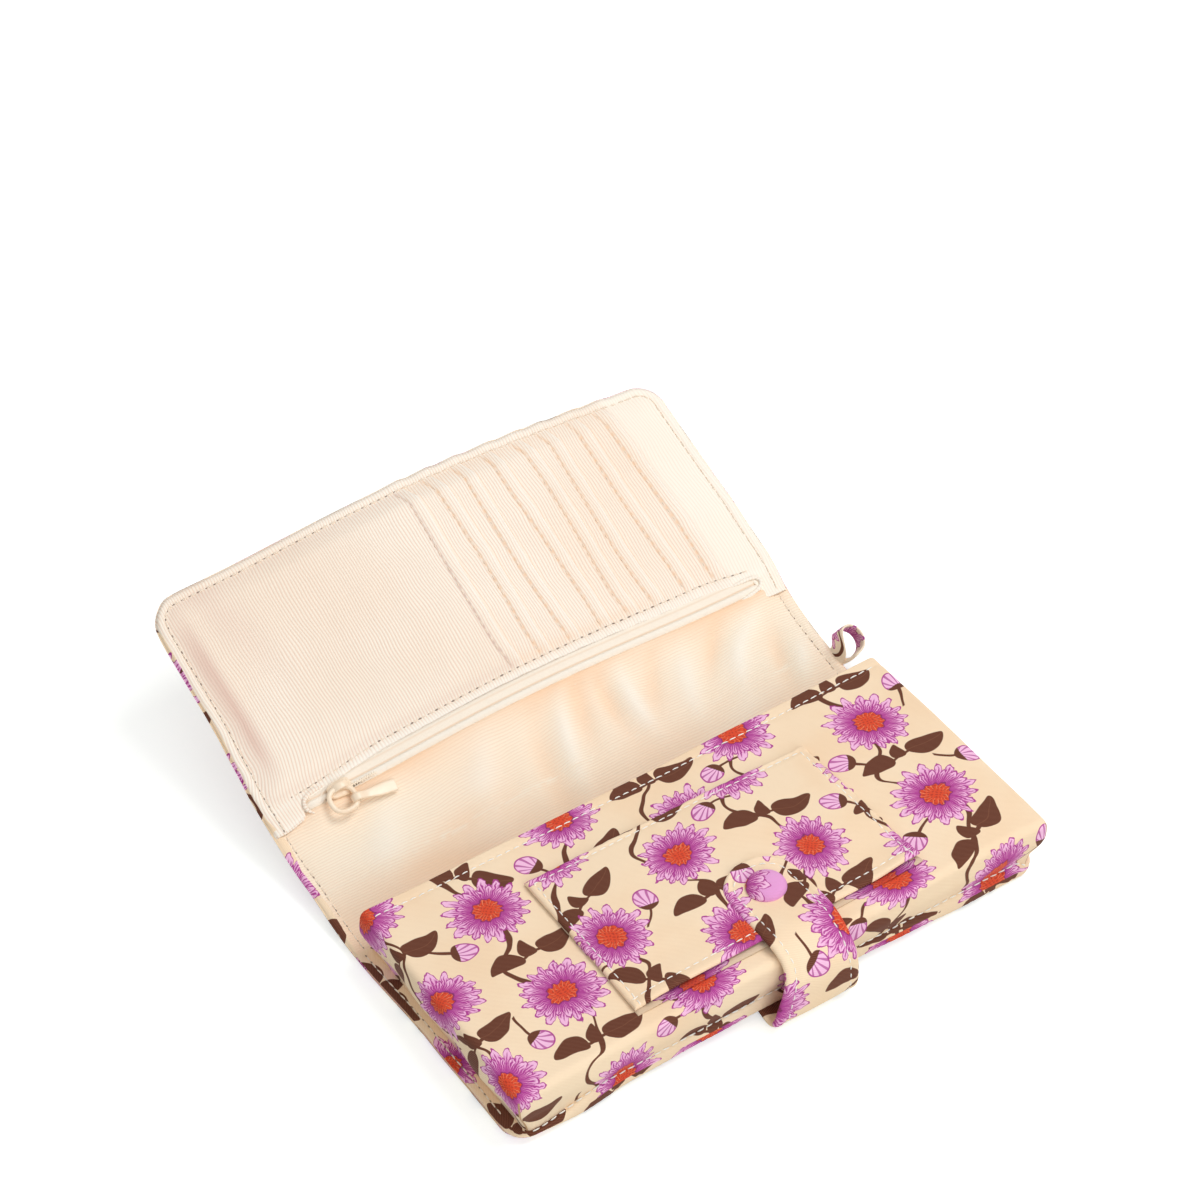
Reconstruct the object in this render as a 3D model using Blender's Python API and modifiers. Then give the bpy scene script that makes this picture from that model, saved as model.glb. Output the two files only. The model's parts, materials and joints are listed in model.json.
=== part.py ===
"""Phone wristlet: a fabric wallet lying open, with a boxed phone pocket, a card flap and a snap tab.

Sizes are in millimetres and become metres where a mesh is made. X runs along the wallet, Y from
the near edge towards the flap, and Z up. The origin is the middle of the base's resting face.
"""

import math

import bmesh
import bpy
from mathutils import Euler, Matrix, Vector

MM = 0.001

# Overall cloth shell
LENGTH = 178.0
BASE_DEPTH = 88.0
SPINE_DEPTH = 31.0
FLAP_DEPTH = 91.0
CORNER_R = 8.0
SPINE_TILT = 11.25
FLAP_TILT = 11.25

# Cloth layers and the clearances between solids
COVER_T = 0.6
BASE_PADDING_T = 1.5
FLAP_PADDING_T = 0.7
LINING_T = 0.4
LAYER_GAP = 0.05
FOLD_GAP = 0.15
REST_GAP = 0.3

# Seam allowance round the phone pocket
SEAM_W = 5.0
ROLL_OUT = 1.3
ROLL_H = 4.7
ROLL_IN = 1.2

# Phone pocket
POCKET_T = 2.4
POCKET_INSET = 3.6
POCKET_NEAR = 1.8
POCKET_DEPTH = 77.7
POCKET_CORNER_R = 6.0
POCKET_EDGE_R = 4.0
POCKET_TOP_NEAR = 21.9
POCKET_TOP_MOUTH = 20.6
SIDE_BULGE = 3.4
NEAR_BULGE = 4.8
BULGE_RISE = 6.0
POCKET_LINING_T = 0.5
MOUTH_HEM_W = 8.5
MOUTH_HEM_T = 0.6

# Slip pocket on the phone pocket
PATCH_W = 98.0
PATCH_X = 2.5
PATCH_NEAR = 4.5
PATCH_DEPTH = 57.5
PATCH_T = 0.6
PATCH_BACK_T = 0.3
PATCH_SLOT = 0.2
PATCH_LIP = 1.2
PATCH_R = 2.0

# Strap loop at the right end of the spine
LOOP_START = 9.5
LOOP_W = 8.0
LOOP_T = 0.45
LOOP_HOLD = 4.6
LOOP_REACH = 11.0
LOOP_HEIGHT = 9.0
LOOP_SHAPE = ((0.3, 1.7), (0.12, 0.6))

# Closure tab
TAB_W = 23.5
TAB_X = 8.2
TAB_COVER_T = 0.7
TAB_PADDING_T = 0.5
TAB_FACING_T = 0.7
TAB_ROOT_T = 1.6
TAB_ROOT_TOP = 2.5
TAB_STAND_OFF = 7.6
TAB_TIP = 31.0
TAB_TIP_R = 10.5

# Snap fastener
SNAP_Y = 19.3
CAP_R = 6.2
CAP_H = 2.6
CAP_RIM_SHARE = 0.3
CAP_FOOT_SHARE = 0.94
CAP_STEPS = 6
SHANK_R = 0.9
SHANK_CLEAR = 0.25
SOCKET_R = 5.0
SOCKET_BORE_R = 2.2
SOCKET_BORE_DEPTH = 0.8
STUD_BASE_R = 5.0
STUD_BASE_H = 0.6
STUD_NECK_R = 1.4
STUD_HEAD_R = 1.9
STUD_H = 2.2
STUD_INSET = 14.0

# Card slots
SLOT_COUNT = 8
SLOT_STEP = 10.17
SLOT_FIRST_X = 1.5
SLOT_T = 0.25
SLOT_GAP = 0.02
SLOT_HEM_W = 4.0
SLOT_HEM_RISE = 0.2
PANEL_INSET = 0.5
PANEL_START = 17.0
CARD_BACKING_T = 0.25
ZIP_POCKET_LINING_T = 0.4

# Zip
ZIP_LINE = 11.75
ZIP_LEFT = -78.9
ZIP_RIGHT = 81.9
TAPE_T = 0.45
TAPE_PART = 0.65
TAPE_LAP = 5.0
WELT_W = 2.3
TAPE_LOWER_REACH = 6.55
COIL_H = 1.0
COIL_PART = 0.5
COIL_W = 1.8
COIL_CORE_W = 0.6
TOOTH_PITCH = 1.25
TOOTH_FILL = 0.62
TOOTH_TAPER = 0.12
CHAIN_MARGIN = 2.4
STOP_L = 1.6
STOP_R = 0.4
ZIP_WINDOW_W = 7.6
ZIP_WINDOW_MARGIN = 2.0
ZIP_END_T = 1.3

# Slider and its pull
SLIDER_X = -66.0
SLIDER_L = 9.0
SLIDER_W = 7.4
SLIDER_NOSE_R = 1.6
SLIDER_PLATE_T = 0.45
SLIDER_TOP_T = 0.8
SLIDER_RAIL_W = 1.0
SLIDER_WEB_W = 0.5
SLIDER_WEB_L = 2.0
SLIDER_CLEAR = 0.25
ARCH_L = 2.2
ARCH_W = 4.4
ARCH_GAP_W = 2.2
ARCH_GAP_H = 1.4
ARCH_BAR_T = 0.55
RING_WIRE = 1.1
RING_L = 10.0
RING_W = 9.6
RING_X = -2.5
RING_CORNER_R = 1.5
PULL_L = 15.5
PULL_W = 3.4
PULL_T = 1.3
PULL_EYE_R = 1.5
PULL_EYE_CLEAR = 0.2
PULL_Y = -5.75
PULL_DROOP = 5.0

ARC_STEPS = 7
BULGE_STEPS = 4
EDGE_STEPS = 4
TURN_STEPS = 24
CUT_OVERRUN = 1.0
WELD = 0.00001
SHARP = math.radians(40)

SQUARE = (0, 0, 0, 0)
UPRIGHT = (0.0, 0.0, 0.0)
ALONG_X = (math.radians(90), 0.0, math.radians(90))
ALONG_Y = (math.radians(90), 0.0, 0.0)

# Sizes that follow from those above
HALF = LENGTH / 2
PADDING_Z = COVER_T + LAYER_GAP
BASE_LINING_Z = PADDING_Z + BASE_PADDING_T + LAYER_GAP
FLAP_LINING_Z = PADDING_Z + FLAP_PADDING_T + LAYER_GAP
BASE_T = BASE_LINING_Z + LINING_T
FLAP_T = FLAP_LINING_Z + LINING_T
POCKET_HALF = HALF - POCKET_INSET
POCKET_MOUTH = POCKET_NEAR + POCKET_DEPTH
POCKET_FRONT = POCKET_NEAR - NEAR_BULGE
TOP_SLOPE = math.atan2(POCKET_TOP_MOUTH - POCKET_TOP_NEAR, POCKET_MOUTH - POCKET_FRONT)
ROLL_TOP = BASE_T + ROLL_H
PATCH_STACK = 2 * LAYER_GAP + PATCH_BACK_T + PATCH_SLOT + PATCH_T
TAB_T = TAB_COVER_T + TAB_PADDING_T + TAB_FACING_T + 2 * LAYER_GAP
TAB_REST_Z = POCKET_TOP_NEAR + PATCH_STACK + REST_GAP
TAB_LEFT = TAB_X - TAB_W / 2
TAB_RIGHT = TAB_X + TAB_W / 2
TAPE_Z = 2 * LAYER_GAP + ZIP_POCKET_LINING_T
COIL_Z = TAPE_Z + TAPE_T + LAYER_GAP
BACKING_Z = TAPE_Z + TAPE_T + LAYER_GAP
SLOTS_Z = BACKING_Z + CARD_BACKING_T + SLOT_GAP
PANEL_RIGHT = HALF - PANEL_INSET
PANEL_FAR = FLAP_DEPTH - PANEL_INSET
PANEL_R = CORNER_R - PANEL_INSET
SLIDER_FLOOR = TAPE_Z - LAYER_GAP - SLIDER_PLATE_T
SLIDER_CEILING = COIL_Z + COIL_H + SLIDER_CLEAR
SLIDER_TOP = SLIDER_CEILING + SLIDER_TOP_T
RING_Z = SLIDER_TOP + ARCH_GAP_H / 2

# Colours are linear, with roughness and metallic after them
PRINT = ((0.955, 0.716, 0.445), 0.72, 0.0)
LINING = ((0.955, 0.831, 0.679), 0.70, 0.0)
BAND = ((0.955, 0.76, 0.55), 0.70, 0.0)
FILLING = ((0.85, 0.84, 0.80), 0.95, 0.0)
TAPE = ((0.96, 0.85, 0.72), 0.75, 0.0)
COIL = ((0.95, 0.84, 0.68), 0.45, 0.0)
PULLER = ((0.93, 0.80, 0.62), 0.42, 0.0)
LILAC = ((0.80, 0.42, 0.82), 0.65, 0.0)
METAL = ((0.75, 0.72, 0.66), 0.30, 1.0)


def collection(name):
    found = bpy.data.collections.new(name)
    bpy.context.scene.collection.children.link(found)
    return found


def frame_at(name, parent, place, tilt=0.0):
    """An empty that carries a group of pieces, turned about X by tilt in radians."""
    empty = bpy.data.objects.new(name, None)
    empty.empty_display_size = 0.01
    empty.parent = parent
    empty.location = [v * MM for v in place]
    empty.rotation_euler = (tilt, 0.0, 0.0)
    PARTS.objects.link(empty)
    return empty


def finish_material(name, finish):
    colour, roughness, metallic = finish
    material = bpy.data.materials.new(name)
    material.use_nodes = True
    shader = material.node_tree.nodes["Principled BSDF"]
    shader.inputs["Base Color"].default_value = (*colour, 1.0)
    shader.inputs["Roughness"].default_value = roughness
    shader.inputs["Metallic"].default_value = metallic
    material.diffuse_color = (*colour, 1.0)
    return material


def place(name, data, frame, finish, location=(0.0, 0.0, 0.0)):
    """Adds an object under its frame: a part with its own finish, or a cutter where that is None."""
    obj = bpy.data.objects.new(name, data)
    obj.parent = frame
    obj.location = [v * MM for v in location]
    if finish is None:
        obj.hide_render = True
        obj.display_type = "WIRE"
        CUTTERS.objects.link(obj)
    else:
        data.materials.append(finish_material(name, finish))
        PARTS.objects.link(obj)
    return obj


def shade(mesh):
    """Curved faces look round, and edges sharper than SHARP stay crisp."""
    mesh.shade_smooth()
    mesh.set_sharp_from_angle(angle=SHARP)


def piece(name, bm, frame, finish):
    """Turns a bmesh in millimetres into an object."""
    bmesh.ops.scale(bm, vec=(MM, MM, MM), verts=bm.verts)
    mesh = bpy.data.meshes.new(name)
    bm.to_mesh(mesh)
    bm.free()
    shade(mesh)
    return place(name, mesh, frame, finish)


def arc(cx, cy, radius, start, end):
    """Points on an arc, with both ends, in degrees."""
    turns = [math.radians(start + (end - start) * i / ARC_STEPS) for i in range(ARC_STEPS + 1)]
    return [(cx + radius * math.cos(t), cy + radius * math.sin(t)) for t in turns]


def rounded(left, right, near, far, radii=SQUARE):
    """A rectangle's outline, its corners rounded in turn from near left, anticlockwise."""
    corners = (
        (left, near, 1, 1, 180), (right, near, -1, 1, 270),
        (right, far, -1, -1, 0), (left, far, 1, -1, 90),
    )
    points = []
    for (x, y, dx, dy, start), radius in zip(corners, radii):
        if radius > 0:
            points += arc(x + dx * radius, y + dy * radius, radius, start, start + 90)
        else:
            points.append((x, y))
    return points


def traced(name, outline, dimensions):
    """A closed polygon as a curve, its points in millimetres."""
    curve = bpy.data.curves.new(name, "CURVE")
    curve.dimensions = dimensions
    spline = curve.splines.new("POLY")
    spline.points.add(len(outline) - 1)
    for point, (x, y) in zip(spline.points, outline):
        point.co = (x * MM, y * MM, 0.0, 1.0)
    spline.use_cyclic_u = True
    return curve


def slab(name, outline, low, high, frame, finish, turn=UPRIGHT):
    """A filled outline that runs from low to high along its own normal, Z unless it is turned."""
    curve = traced(name, outline, "2D")
    curve.fill_mode = "BOTH"
    curve.extrude = (high - low) / 2 * MM
    middle = Euler(turn).to_matrix() @ Vector((0.0, 0.0, (low + high) / 2))
    obj = place(name, curve, frame, finish, middle)
    obj.rotation_euler = turn
    return obj


def meshed(obj):
    """Replaces a curve object by a closed mesh, which can then be cut or joined."""
    evaluated = obj.evaluated_get(bpy.context.evaluated_depsgraph_get())
    mesh = bpy.data.meshes.new_from_object(evaluated)
    bm = bmesh.new()
    bm.from_mesh(mesh)
    bmesh.ops.remove_doubles(bm, verts=bm.verts, dist=WELD)
    bmesh.ops.recalc_face_normals(bm, faces=bm.faces)
    bm.to_mesh(mesh)
    bm.free()
    shade(mesh)
    name = obj.name
    parent = obj.parent
    place_in_world = obj.matrix_world.copy()
    groups = obj.users_collection
    bpy.data.objects.remove(obj, do_unlink=True)
    solid = bpy.data.objects.new(name, mesh)
    solid.parent = parent
    for group in groups:
        group.objects.link(solid)
    bpy.context.view_layer.update()
    solid.matrix_world = place_in_world
    if CUTTERS in groups:
        solid.hide_render = True
        solid.display_type = "WIRE"
    return solid


def block(low, high):
    """A box from its lowest to its highest corner."""
    bm = bmesh.new()
    bmesh.ops.create_cube(bm, size=1.0)
    bmesh.ops.scale(bm, vec=[b - a for a, b in zip(low, high)], verts=bm.verts)
    bmesh.ops.translate(bm, vec=[(a + b) / 2 for a, b in zip(low, high)], verts=bm.verts)
    return bm


def drum(x, y, low, high, radius):
    """An upright round bar."""
    bm = bmesh.new()
    bmesh.ops.create_cone(
        bm, cap_ends=True, segments=TURN_STEPS, radius1=radius, radius2=radius, depth=high - low
    )
    bmesh.ops.translate(bm, vec=(x, y, (low + high) / 2), verts=bm.verts)
    return bm


def turned(name, profile, centre, frame, finish):
    """A half section, listed from its top down as (radius, height), spun about an upright axis."""
    bm = bmesh.new()
    corners = [bm.verts.new((radius, 0, height)) for radius, height in profile]
    for pair in zip(corners, corners[1:]):
        bm.edges.new(pair)
    obj = piece(name, bm, frame, finish)
    obj.location = [v * MM for v in centre]
    spin = obj.modifiers.new("spin", "SCREW")
    spin.steps = TURN_STEPS
    spin.render_steps = TURN_STEPS
    spin.use_merge_vertices = True
    spin.merge_threshold = WELD


def combine(obj, bm, frame, operation):
    """Cuts or joins a solid with a second shape by an exact boolean."""
    tool = piece(f"{obj.name}_{operation.lower()}_{len(obj.modifiers)}", bm, frame, None)
    add_boolean(obj, tool, operation)


def add_boolean(obj, tool, operation):
    boolean = obj.modifiers.new(operation.lower(), "BOOLEAN")
    boolean.operation = operation
    boolean.solver = "EXACT"
    boolean.object = tool


def layered(prefix, near, far, radii, padding_t, frame):
    """Cover, padding and lining of one panel, with the lining's face at height 0 of its frame."""
    outline = rounded(-HALF, HALF, near, far, radii)
    lining = slab(f"lining_{prefix}", outline, -LINING_T, 0.0, frame, BAND)
    high = -LINING_T - LAYER_GAP
    padding = slab(f"padding_{prefix}", outline, high - padding_t, high, frame, FILLING)
    high -= padding_t + LAYER_GAP
    slab(f"cover_{prefix}", outline, high - COVER_T, high, frame, PRINT)
    return padding, lining


def build_base(base):
    """The resting cover with padding and lining inside its seam allowance."""
    end = BASE_DEPTH - FOLD_GAP
    slab("cover_base", rounded(-HALF, HALF, 0, end, (CORNER_R, CORNER_R, 0, 0)), 0, COVER_T, base, PRINT)
    inner = rounded(-HALF + SEAM_W + REST_GAP, HALF - SEAM_W - REST_GAP, SEAM_W + REST_GAP, end)
    slab("padding_base", inner, PADDING_Z, PADDING_Z + BASE_PADDING_T, base, FILLING)
    slab("lining_base", inner, BASE_LINING_Z, BASE_T, base, BAND)


def build_seam(base):
    """The seam allowance: flat at both sides and rolled up along the near edge."""
    end = BASE_DEPTH - FOLD_GAP
    start = SEAM_W + REST_GAP
    for name, left in (("seam_left", -HALF), ("seam_right", HALF - SEAM_W)):
        slab(name, rounded(left, left + SEAM_W, start, end), PADDING_Z, BASE_T, base, PRINT)
    roll = arc(0.0, BASE_T + ROLL_H / 2, ROLL_H / 2, 90, 270)
    bulge = ROLL_OUT / (ROLL_H / 2)
    section = [(a * bulge, b) for a, b in roll]
    section += [(0.0, PADDING_Z), (SEAM_W, PADDING_Z), (SEAM_W, BASE_T), (ROLL_IN, BASE_T + REST_GAP)]
    section += [(ROLL_IN, ROLL_TOP - ROLL_IN / 2)]
    reach = HALF - CORNER_R / 2
    near = meshed(slab("seam_near", section, -reach, reach, base, PRINT, ALONG_X))
    notch = block(
        (TAB_LEFT - REST_GAP, -ROLL_OUT - CUT_OVERRUN, 0.0),
        (TAB_RIGHT + REST_GAP, SEAM_W + CUT_OVERRUN, TAB_ROOT_TOP + REST_GAP),
    )
    combine(near, notch, base, "DIFFERENCE")


def pocket_ring(side, near, inset, height, drop):
    """One U-shaped ring of the pocket wall, at a fixed height or at a drop below the sloping top."""
    half = POCKET_HALF + side - inset
    front = POCKET_NEAR - near + inset
    radius = POCKET_CORNER_R - inset
    outline = [(-half, POCKET_MOUTH)]
    outline += arc(-half + radius, front + radius, radius, 180, 270)
    outline += arc(half - radius, front + radius, radius, 270, 360)
    outline.append((half, POCKET_MOUTH))
    ring = []
    for x, y in outline:
        top = POCKET_TOP_NEAR + (y - POCKET_FRONT) * math.tan(TOP_SLOPE)
        ring.append((x, y, top - drop if height is None else height))
    return ring


def build_phone_pocket(base, top):
    """The boxed pocket: walls that rise from the seam, swell outwards and round over into the top."""
    foot = BASE_T + REST_GAP
    shoulder = ROLL_TOP + REST_GAP
    rings = [pocket_ring(0, 0, 0, foot, 0)]
    for i in range(BULGE_STEPS + 1):
        share = i / BULGE_STEPS
        swell = share * share * (3 - 2 * share)
        rings.append(
            pocket_ring(SIDE_BULGE * swell, NEAR_BULGE * swell, 0, shoulder + BULGE_RISE * share, 0)
        )
    for i in range(EDGE_STEPS + 1):
        turn = math.radians(90 * i / EDGE_STEPS)
        inset = POCKET_EDGE_R * (1 - math.cos(turn))
        drop = POCKET_EDGE_R * (1 - math.sin(turn))
        rings.append(pocket_ring(SIDE_BULGE, NEAR_BULGE, inset, None, drop))
    bm = bmesh.new()
    lofted = [[bm.verts.new(p) for p in ring] for ring in rings]
    for low, high in zip(lofted, lofted[1:]):
        for i in range(len(low) - 1):
            bm.faces.new((low[i], low[i + 1], high[i + 1], high[i]))
    bm.faces.new(lofted[-1])
    shell = piece("pocket_shell", bm, base, PRINT)
    thickness = shell.modifiers.new("cloth", "SOLIDIFY")
    thickness.thickness = POCKET_T * MM
    thickness.offset = -1.0
    thickness.use_even_offset = True
    under = -POCKET_T - REST_GAP
    reach = POCKET_HALF + SIDE_BULGE - POCKET_EDGE_R - POCKET_T
    mouth = POCKET_MOUTH - POCKET_FRONT
    slab(
        "mouth_hem",
        rounded(-reach, reach, mouth - MOUTH_HEM_W, mouth - REST_GAP),
        under - MOUTH_HEM_T, under, top, LINING,
    )
    front = NEAR_BULGE + POCKET_T + POCKET_EDGE_R
    slab(
        "pocket_lining",
        rounded(-reach, reach, front, mouth - MOUTH_HEM_W - REST_GAP),
        under - POCKET_LINING_T, under, top, LINING,
    )


def build_patch(top):
    """The slip pocket: a backing that lips out below a stitched panel, open at the near edge."""
    left = PATCH_X - PATCH_W / 2
    right = PATCH_X + PATCH_W / 2
    near = PATCH_NEAR - POCKET_FRONT
    far = near + PATCH_DEPTH
    radii = (PATCH_R, PATCH_R, PATCH_R, PATCH_R)
    back_low = LAYER_GAP
    panel_low = back_low + PATCH_BACK_T + PATCH_SLOT
    slab(
        "patch_backing", rounded(left, right, near - PATCH_LIP, far, radii),
        back_low, back_low + PATCH_BACK_T, top, PRINT,
    )
    slab("patch_panel", rounded(left, right, near, far, radii), panel_low, panel_low + PATCH_T, top, PRINT)


def build_spine(spine):
    """The spine between both fold lines, with the strap loop sewn into its right edge."""
    far = SPINE_DEPTH - FOLD_GAP
    padding, _ = layered("spine", FOLD_GAP, far, SQUARE, BASE_PADDING_T, spine)
    notch = block(
        (HALF - LOOP_HOLD - REST_GAP, LOOP_START - REST_GAP, -BASE_T),
        (HALF + CUT_OVERRUN, LOOP_START + LOOP_W + REST_GAP, 0.0),
    )
    combine(meshed(padding), notch, spine, "DIFFERENCE")
    build_loop(spine)


def build_loop(spine):
    """A ribbon folded over, with both ends held between cover and lining and a round bight outside."""
    low = PADDING_Z - BASE_T + LOOP_T / 2
    high = low + LOOP_T + 2 * LAYER_GAP
    radius = LOOP_HEIGHT / 2 - LOOP_T / 2
    centre = HALF + LOOP_REACH - LOOP_HEIGHT / 2
    middle = low + radius
    rise = (middle + radius - high) / 2
    out = HALF + REST_GAP
    path = [(HALF - LOOP_HOLD, low), (out, low)]
    path += arc(centre, middle, radius, -90, 90)
    path += [(HALF + LOOP_REACH * reach, high + rise * up) for reach, up in LOOP_SHAPE]
    path += [(out, high), (HALF - LOOP_HOLD, high)]
    bm = bmesh.new()
    near = [bm.verts.new((x, LOOP_START, z)) for x, z in path]
    edges = [bm.edges.new(pair) for pair in zip(near, near[1:])]
    grown = bmesh.ops.extrude_edge_only(bm, edges=edges)
    moved = [v for v in grown["geom"] if isinstance(v, bmesh.types.BMVert)]
    bmesh.ops.translate(bm, vec=(0, LOOP_W, 0), verts=moved)
    loop = piece("strap_loop", bm, spine, PRINT)
    ribbon = loop.modifiers.new("ribbon", "SOLIDIFY")
    ribbon.thickness = LOOP_T * MM
    ribbon.offset = 0.0
    ribbon.use_even_offset = True


def build_flap(flap):
    """The flap's cover, padding and lining, the zip pocket's lining and the stud outside."""
    radii = (0, 0, CORNER_R, CORNER_R)
    _, lining = layered("flap", FOLD_GAP, FLAP_DEPTH, radii, FLAP_PADDING_T, flap)
    window = block(
        (ZIP_LEFT + ZIP_WINDOW_MARGIN, ZIP_LINE - ZIP_WINDOW_W / 2, -LINING_T - LAYER_GAP / 2),
        (ZIP_RIGHT - ZIP_WINDOW_MARGIN, ZIP_LINE + ZIP_WINDOW_W / 2, CUT_OVERRUN),
    )
    combine(meshed(lining), window, flap, "DIFFERENCE")
    panel = rounded(-PANEL_RIGHT, PANEL_RIGHT, PANEL_START, PANEL_FAR, (0, 0, PANEL_R, PANEL_R))
    slab("zip_pocket_lining", panel, LAYER_GAP, LAYER_GAP + ZIP_POCKET_LINING_T, flap, LINING)
    stud = -FLAP_T - LAYER_GAP
    head = stud - STUD_H
    turned(
        "snap_stud",
        [
            (0, stud), (STUD_BASE_R, stud), (STUD_BASE_R, stud - STUD_BASE_H),
            (STUD_NECK_R, stud - STUD_BASE_H), (STUD_NECK_R, (stud - STUD_BASE_H + head) / 2),
            (STUD_HEAD_R, (stud - STUD_BASE_H + 2 * head) / 3), (STUD_NECK_R, head), (0, head),
        ],
        (TAB_X, FLAP_DEPTH - STUD_INSET, 0), flap, METAL,
    )


def build_cards(flap):
    """The card backing and the stepped slots, each slot's opening edge hemmed and a step further left."""
    panel = rounded(-PANEL_RIGHT, PANEL_RIGHT, PANEL_START, PANEL_FAR, (0, 0, PANEL_R, PANEL_R))
    slab("card_backing", panel, BACKING_Z, BACKING_Z + CARD_BACKING_T, flap, LINING)
    for number in range(SLOT_COUNT):
        low = SLOTS_Z + number * (SLOT_T + SLOT_GAP)
        edge = SLOT_FIRST_X + (SLOT_COUNT - 1 - number) * SLOT_STEP
        outline = rounded(-PANEL_RIGHT, edge, PANEL_START, PANEL_FAR, (0, 0, 0, PANEL_R))
        slot = slab(f"card_slot_{number + 1}", outline, low, low + SLOT_T, flap, LINING)
        hem = block(
            (edge - SLOT_HEM_W, PANEL_START, low + SLOT_T / 2),
            (edge, PANEL_FAR, low + SLOT_T + SLOT_HEM_RISE),
        )
        combine(meshed(slot), hem, flap, "UNION")


def coil_outline(start, end, side):
    """One half of the zip's chain: a core strip with teeth that point at the other half."""
    inner = COIL_PART
    core = COIL_PART + COIL_W - COIL_CORE_W
    outer = COIL_PART + COIL_W
    count = int((end - start) / TOOTH_PITCH)
    points = [(start, ZIP_LINE + side * outer), (start, ZIP_LINE + side * core)]
    shift = TOOTH_PITCH / 2 if side > 0 else 0.0
    for i in range(count - 1):
        left = start + shift + (i + (1 - TOOTH_FILL) / 2) * TOOTH_PITCH
        right = left + TOOTH_FILL * TOOTH_PITCH
        points.append((left, ZIP_LINE + side * core))
        points.append((left + TOOTH_TAPER, ZIP_LINE + side * inner))
        points.append((right - TOOTH_TAPER, ZIP_LINE + side * inner))
        points.append((right, ZIP_LINE + side * core))
    points += [(end, ZIP_LINE + side * core), (end, ZIP_LINE + side * outer)]
    return points


def build_zip(flap):
    """Two tapes with their toothed coils, a stop at each end and the cloth facings over the tape ends."""
    upper_far = PANEL_START + TAPE_LAP
    slab(
        "zip_tape_upper",
        rounded(ZIP_LEFT, ZIP_RIGHT, ZIP_LINE + TAPE_PART, upper_far),
        TAPE_Z, TAPE_Z + TAPE_T, flap, TAPE,
    )
    welt = ZIP_LINE - TAPE_LOWER_REACH
    section = [
        (welt, LAYER_GAP), (welt + WELT_W, LAYER_GAP), (welt + WELT_W, TAPE_Z),
        (ZIP_LINE - TAPE_PART, TAPE_Z), (ZIP_LINE - TAPE_PART, TAPE_Z + TAPE_T), (welt, TAPE_Z + TAPE_T),
    ]
    slab("zip_tape_lower", section, ZIP_LEFT, ZIP_RIGHT, flap, TAPE, ALONG_X)
    start = ZIP_LEFT + CHAIN_MARGIN
    end = ZIP_RIGHT - CHAIN_MARGIN
    for name, side in (("zip_coil_lower", -1), ("zip_coil_upper", 1)):
        slab(name, coil_outline(start, end, side), COIL_Z, COIL_Z + COIL_H, flap, COIL)
    width = COIL_PART + COIL_W
    for name, left in (
        ("zip_stop_left", start - STOP_L - REST_GAP), ("zip_stop_right", end + REST_GAP),
    ):
        right = min(left + STOP_L, ZIP_RIGHT)
        radii = (STOP_R, STOP_R, STOP_R, STOP_R)
        outline = rounded(left, right, ZIP_LINE - width, ZIP_LINE + width, radii)
        slab(name, outline, COIL_Z, COIL_Z + COIL_H, flap, COIL)
    for name, left, right in (
        ("zip_end_left", -PANEL_RIGHT, ZIP_LEFT - REST_GAP),
        ("zip_end_right", ZIP_RIGHT + REST_GAP, PANEL_RIGHT),
    ):
        outline = rounded(left, right, welt, PANEL_START - REST_GAP)
        slab(name, outline, LAYER_GAP, ZIP_END_T, flap, LINING)


def build_slider(slider):
    """Two plates joined by a web between the coils, side rails over the tapes and the pull's arch."""
    plate = rounded(
        -SLIDER_L / 2, SLIDER_L / 2, -SLIDER_W / 2, SLIDER_W / 2,
        (SLIDER_NOSE_R, SLIDER_NOSE_R, SLIDER_NOSE_R, SLIDER_NOSE_R),
    )
    body = meshed(slab("slider_body", plate, SLIDER_CEILING, SLIDER_TOP, slider, PULLER))
    plate_top = SLIDER_FLOOR + SLIDER_PLATE_T
    floor = meshed(slab("slider_floor", plate, SLIDER_FLOOR, plate_top, slider, None))
    add_boolean(body, floor, "UNION")
    web = block(
        (-SLIDER_L / 2 + SLIDER_NOSE_R, -SLIDER_WEB_W / 2, plate_top - SLIDER_PLATE_T / 2),
        (-SLIDER_L / 2 + SLIDER_NOSE_R + SLIDER_WEB_L, SLIDER_WEB_W / 2, SLIDER_CEILING + SLIDER_TOP_T / 2),
    )
    combine(body, web, slider, "UNION")
    rail_low = TAPE_Z + TAPE_T + SLIDER_CLEAR
    for side in (-1, 1):
        outer = side * (SLIDER_W / 2 - LAYER_GAP)
        inner = side * (SLIDER_W / 2 - SLIDER_RAIL_W)
        rail = block(
            (-SLIDER_L / 2 + SLIDER_NOSE_R, min(inner, outer), rail_low),
            (SLIDER_L / 2 - SLIDER_NOSE_R, max(inner, outer), SLIDER_CEILING + SLIDER_TOP_T / 2),
        )
        combine(body, rail, slider, "UNION")
    arch_top = SLIDER_TOP + ARCH_GAP_H + ARCH_BAR_T
    arch = block(
        (-ARCH_L / 2, -ARCH_W / 2, SLIDER_TOP - SLIDER_TOP_T / 2), (ARCH_L / 2, ARCH_W / 2, arch_top)
    )
    combine(body, arch, slider, "UNION")
    way = block(
        (-ARCH_L, -ARCH_GAP_W / 2, SLIDER_TOP), (ARCH_L, ARCH_GAP_W / 2, SLIDER_TOP + ARCH_GAP_H)
    )
    combine(body, way, slider, "DIFFERENCE")


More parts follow.
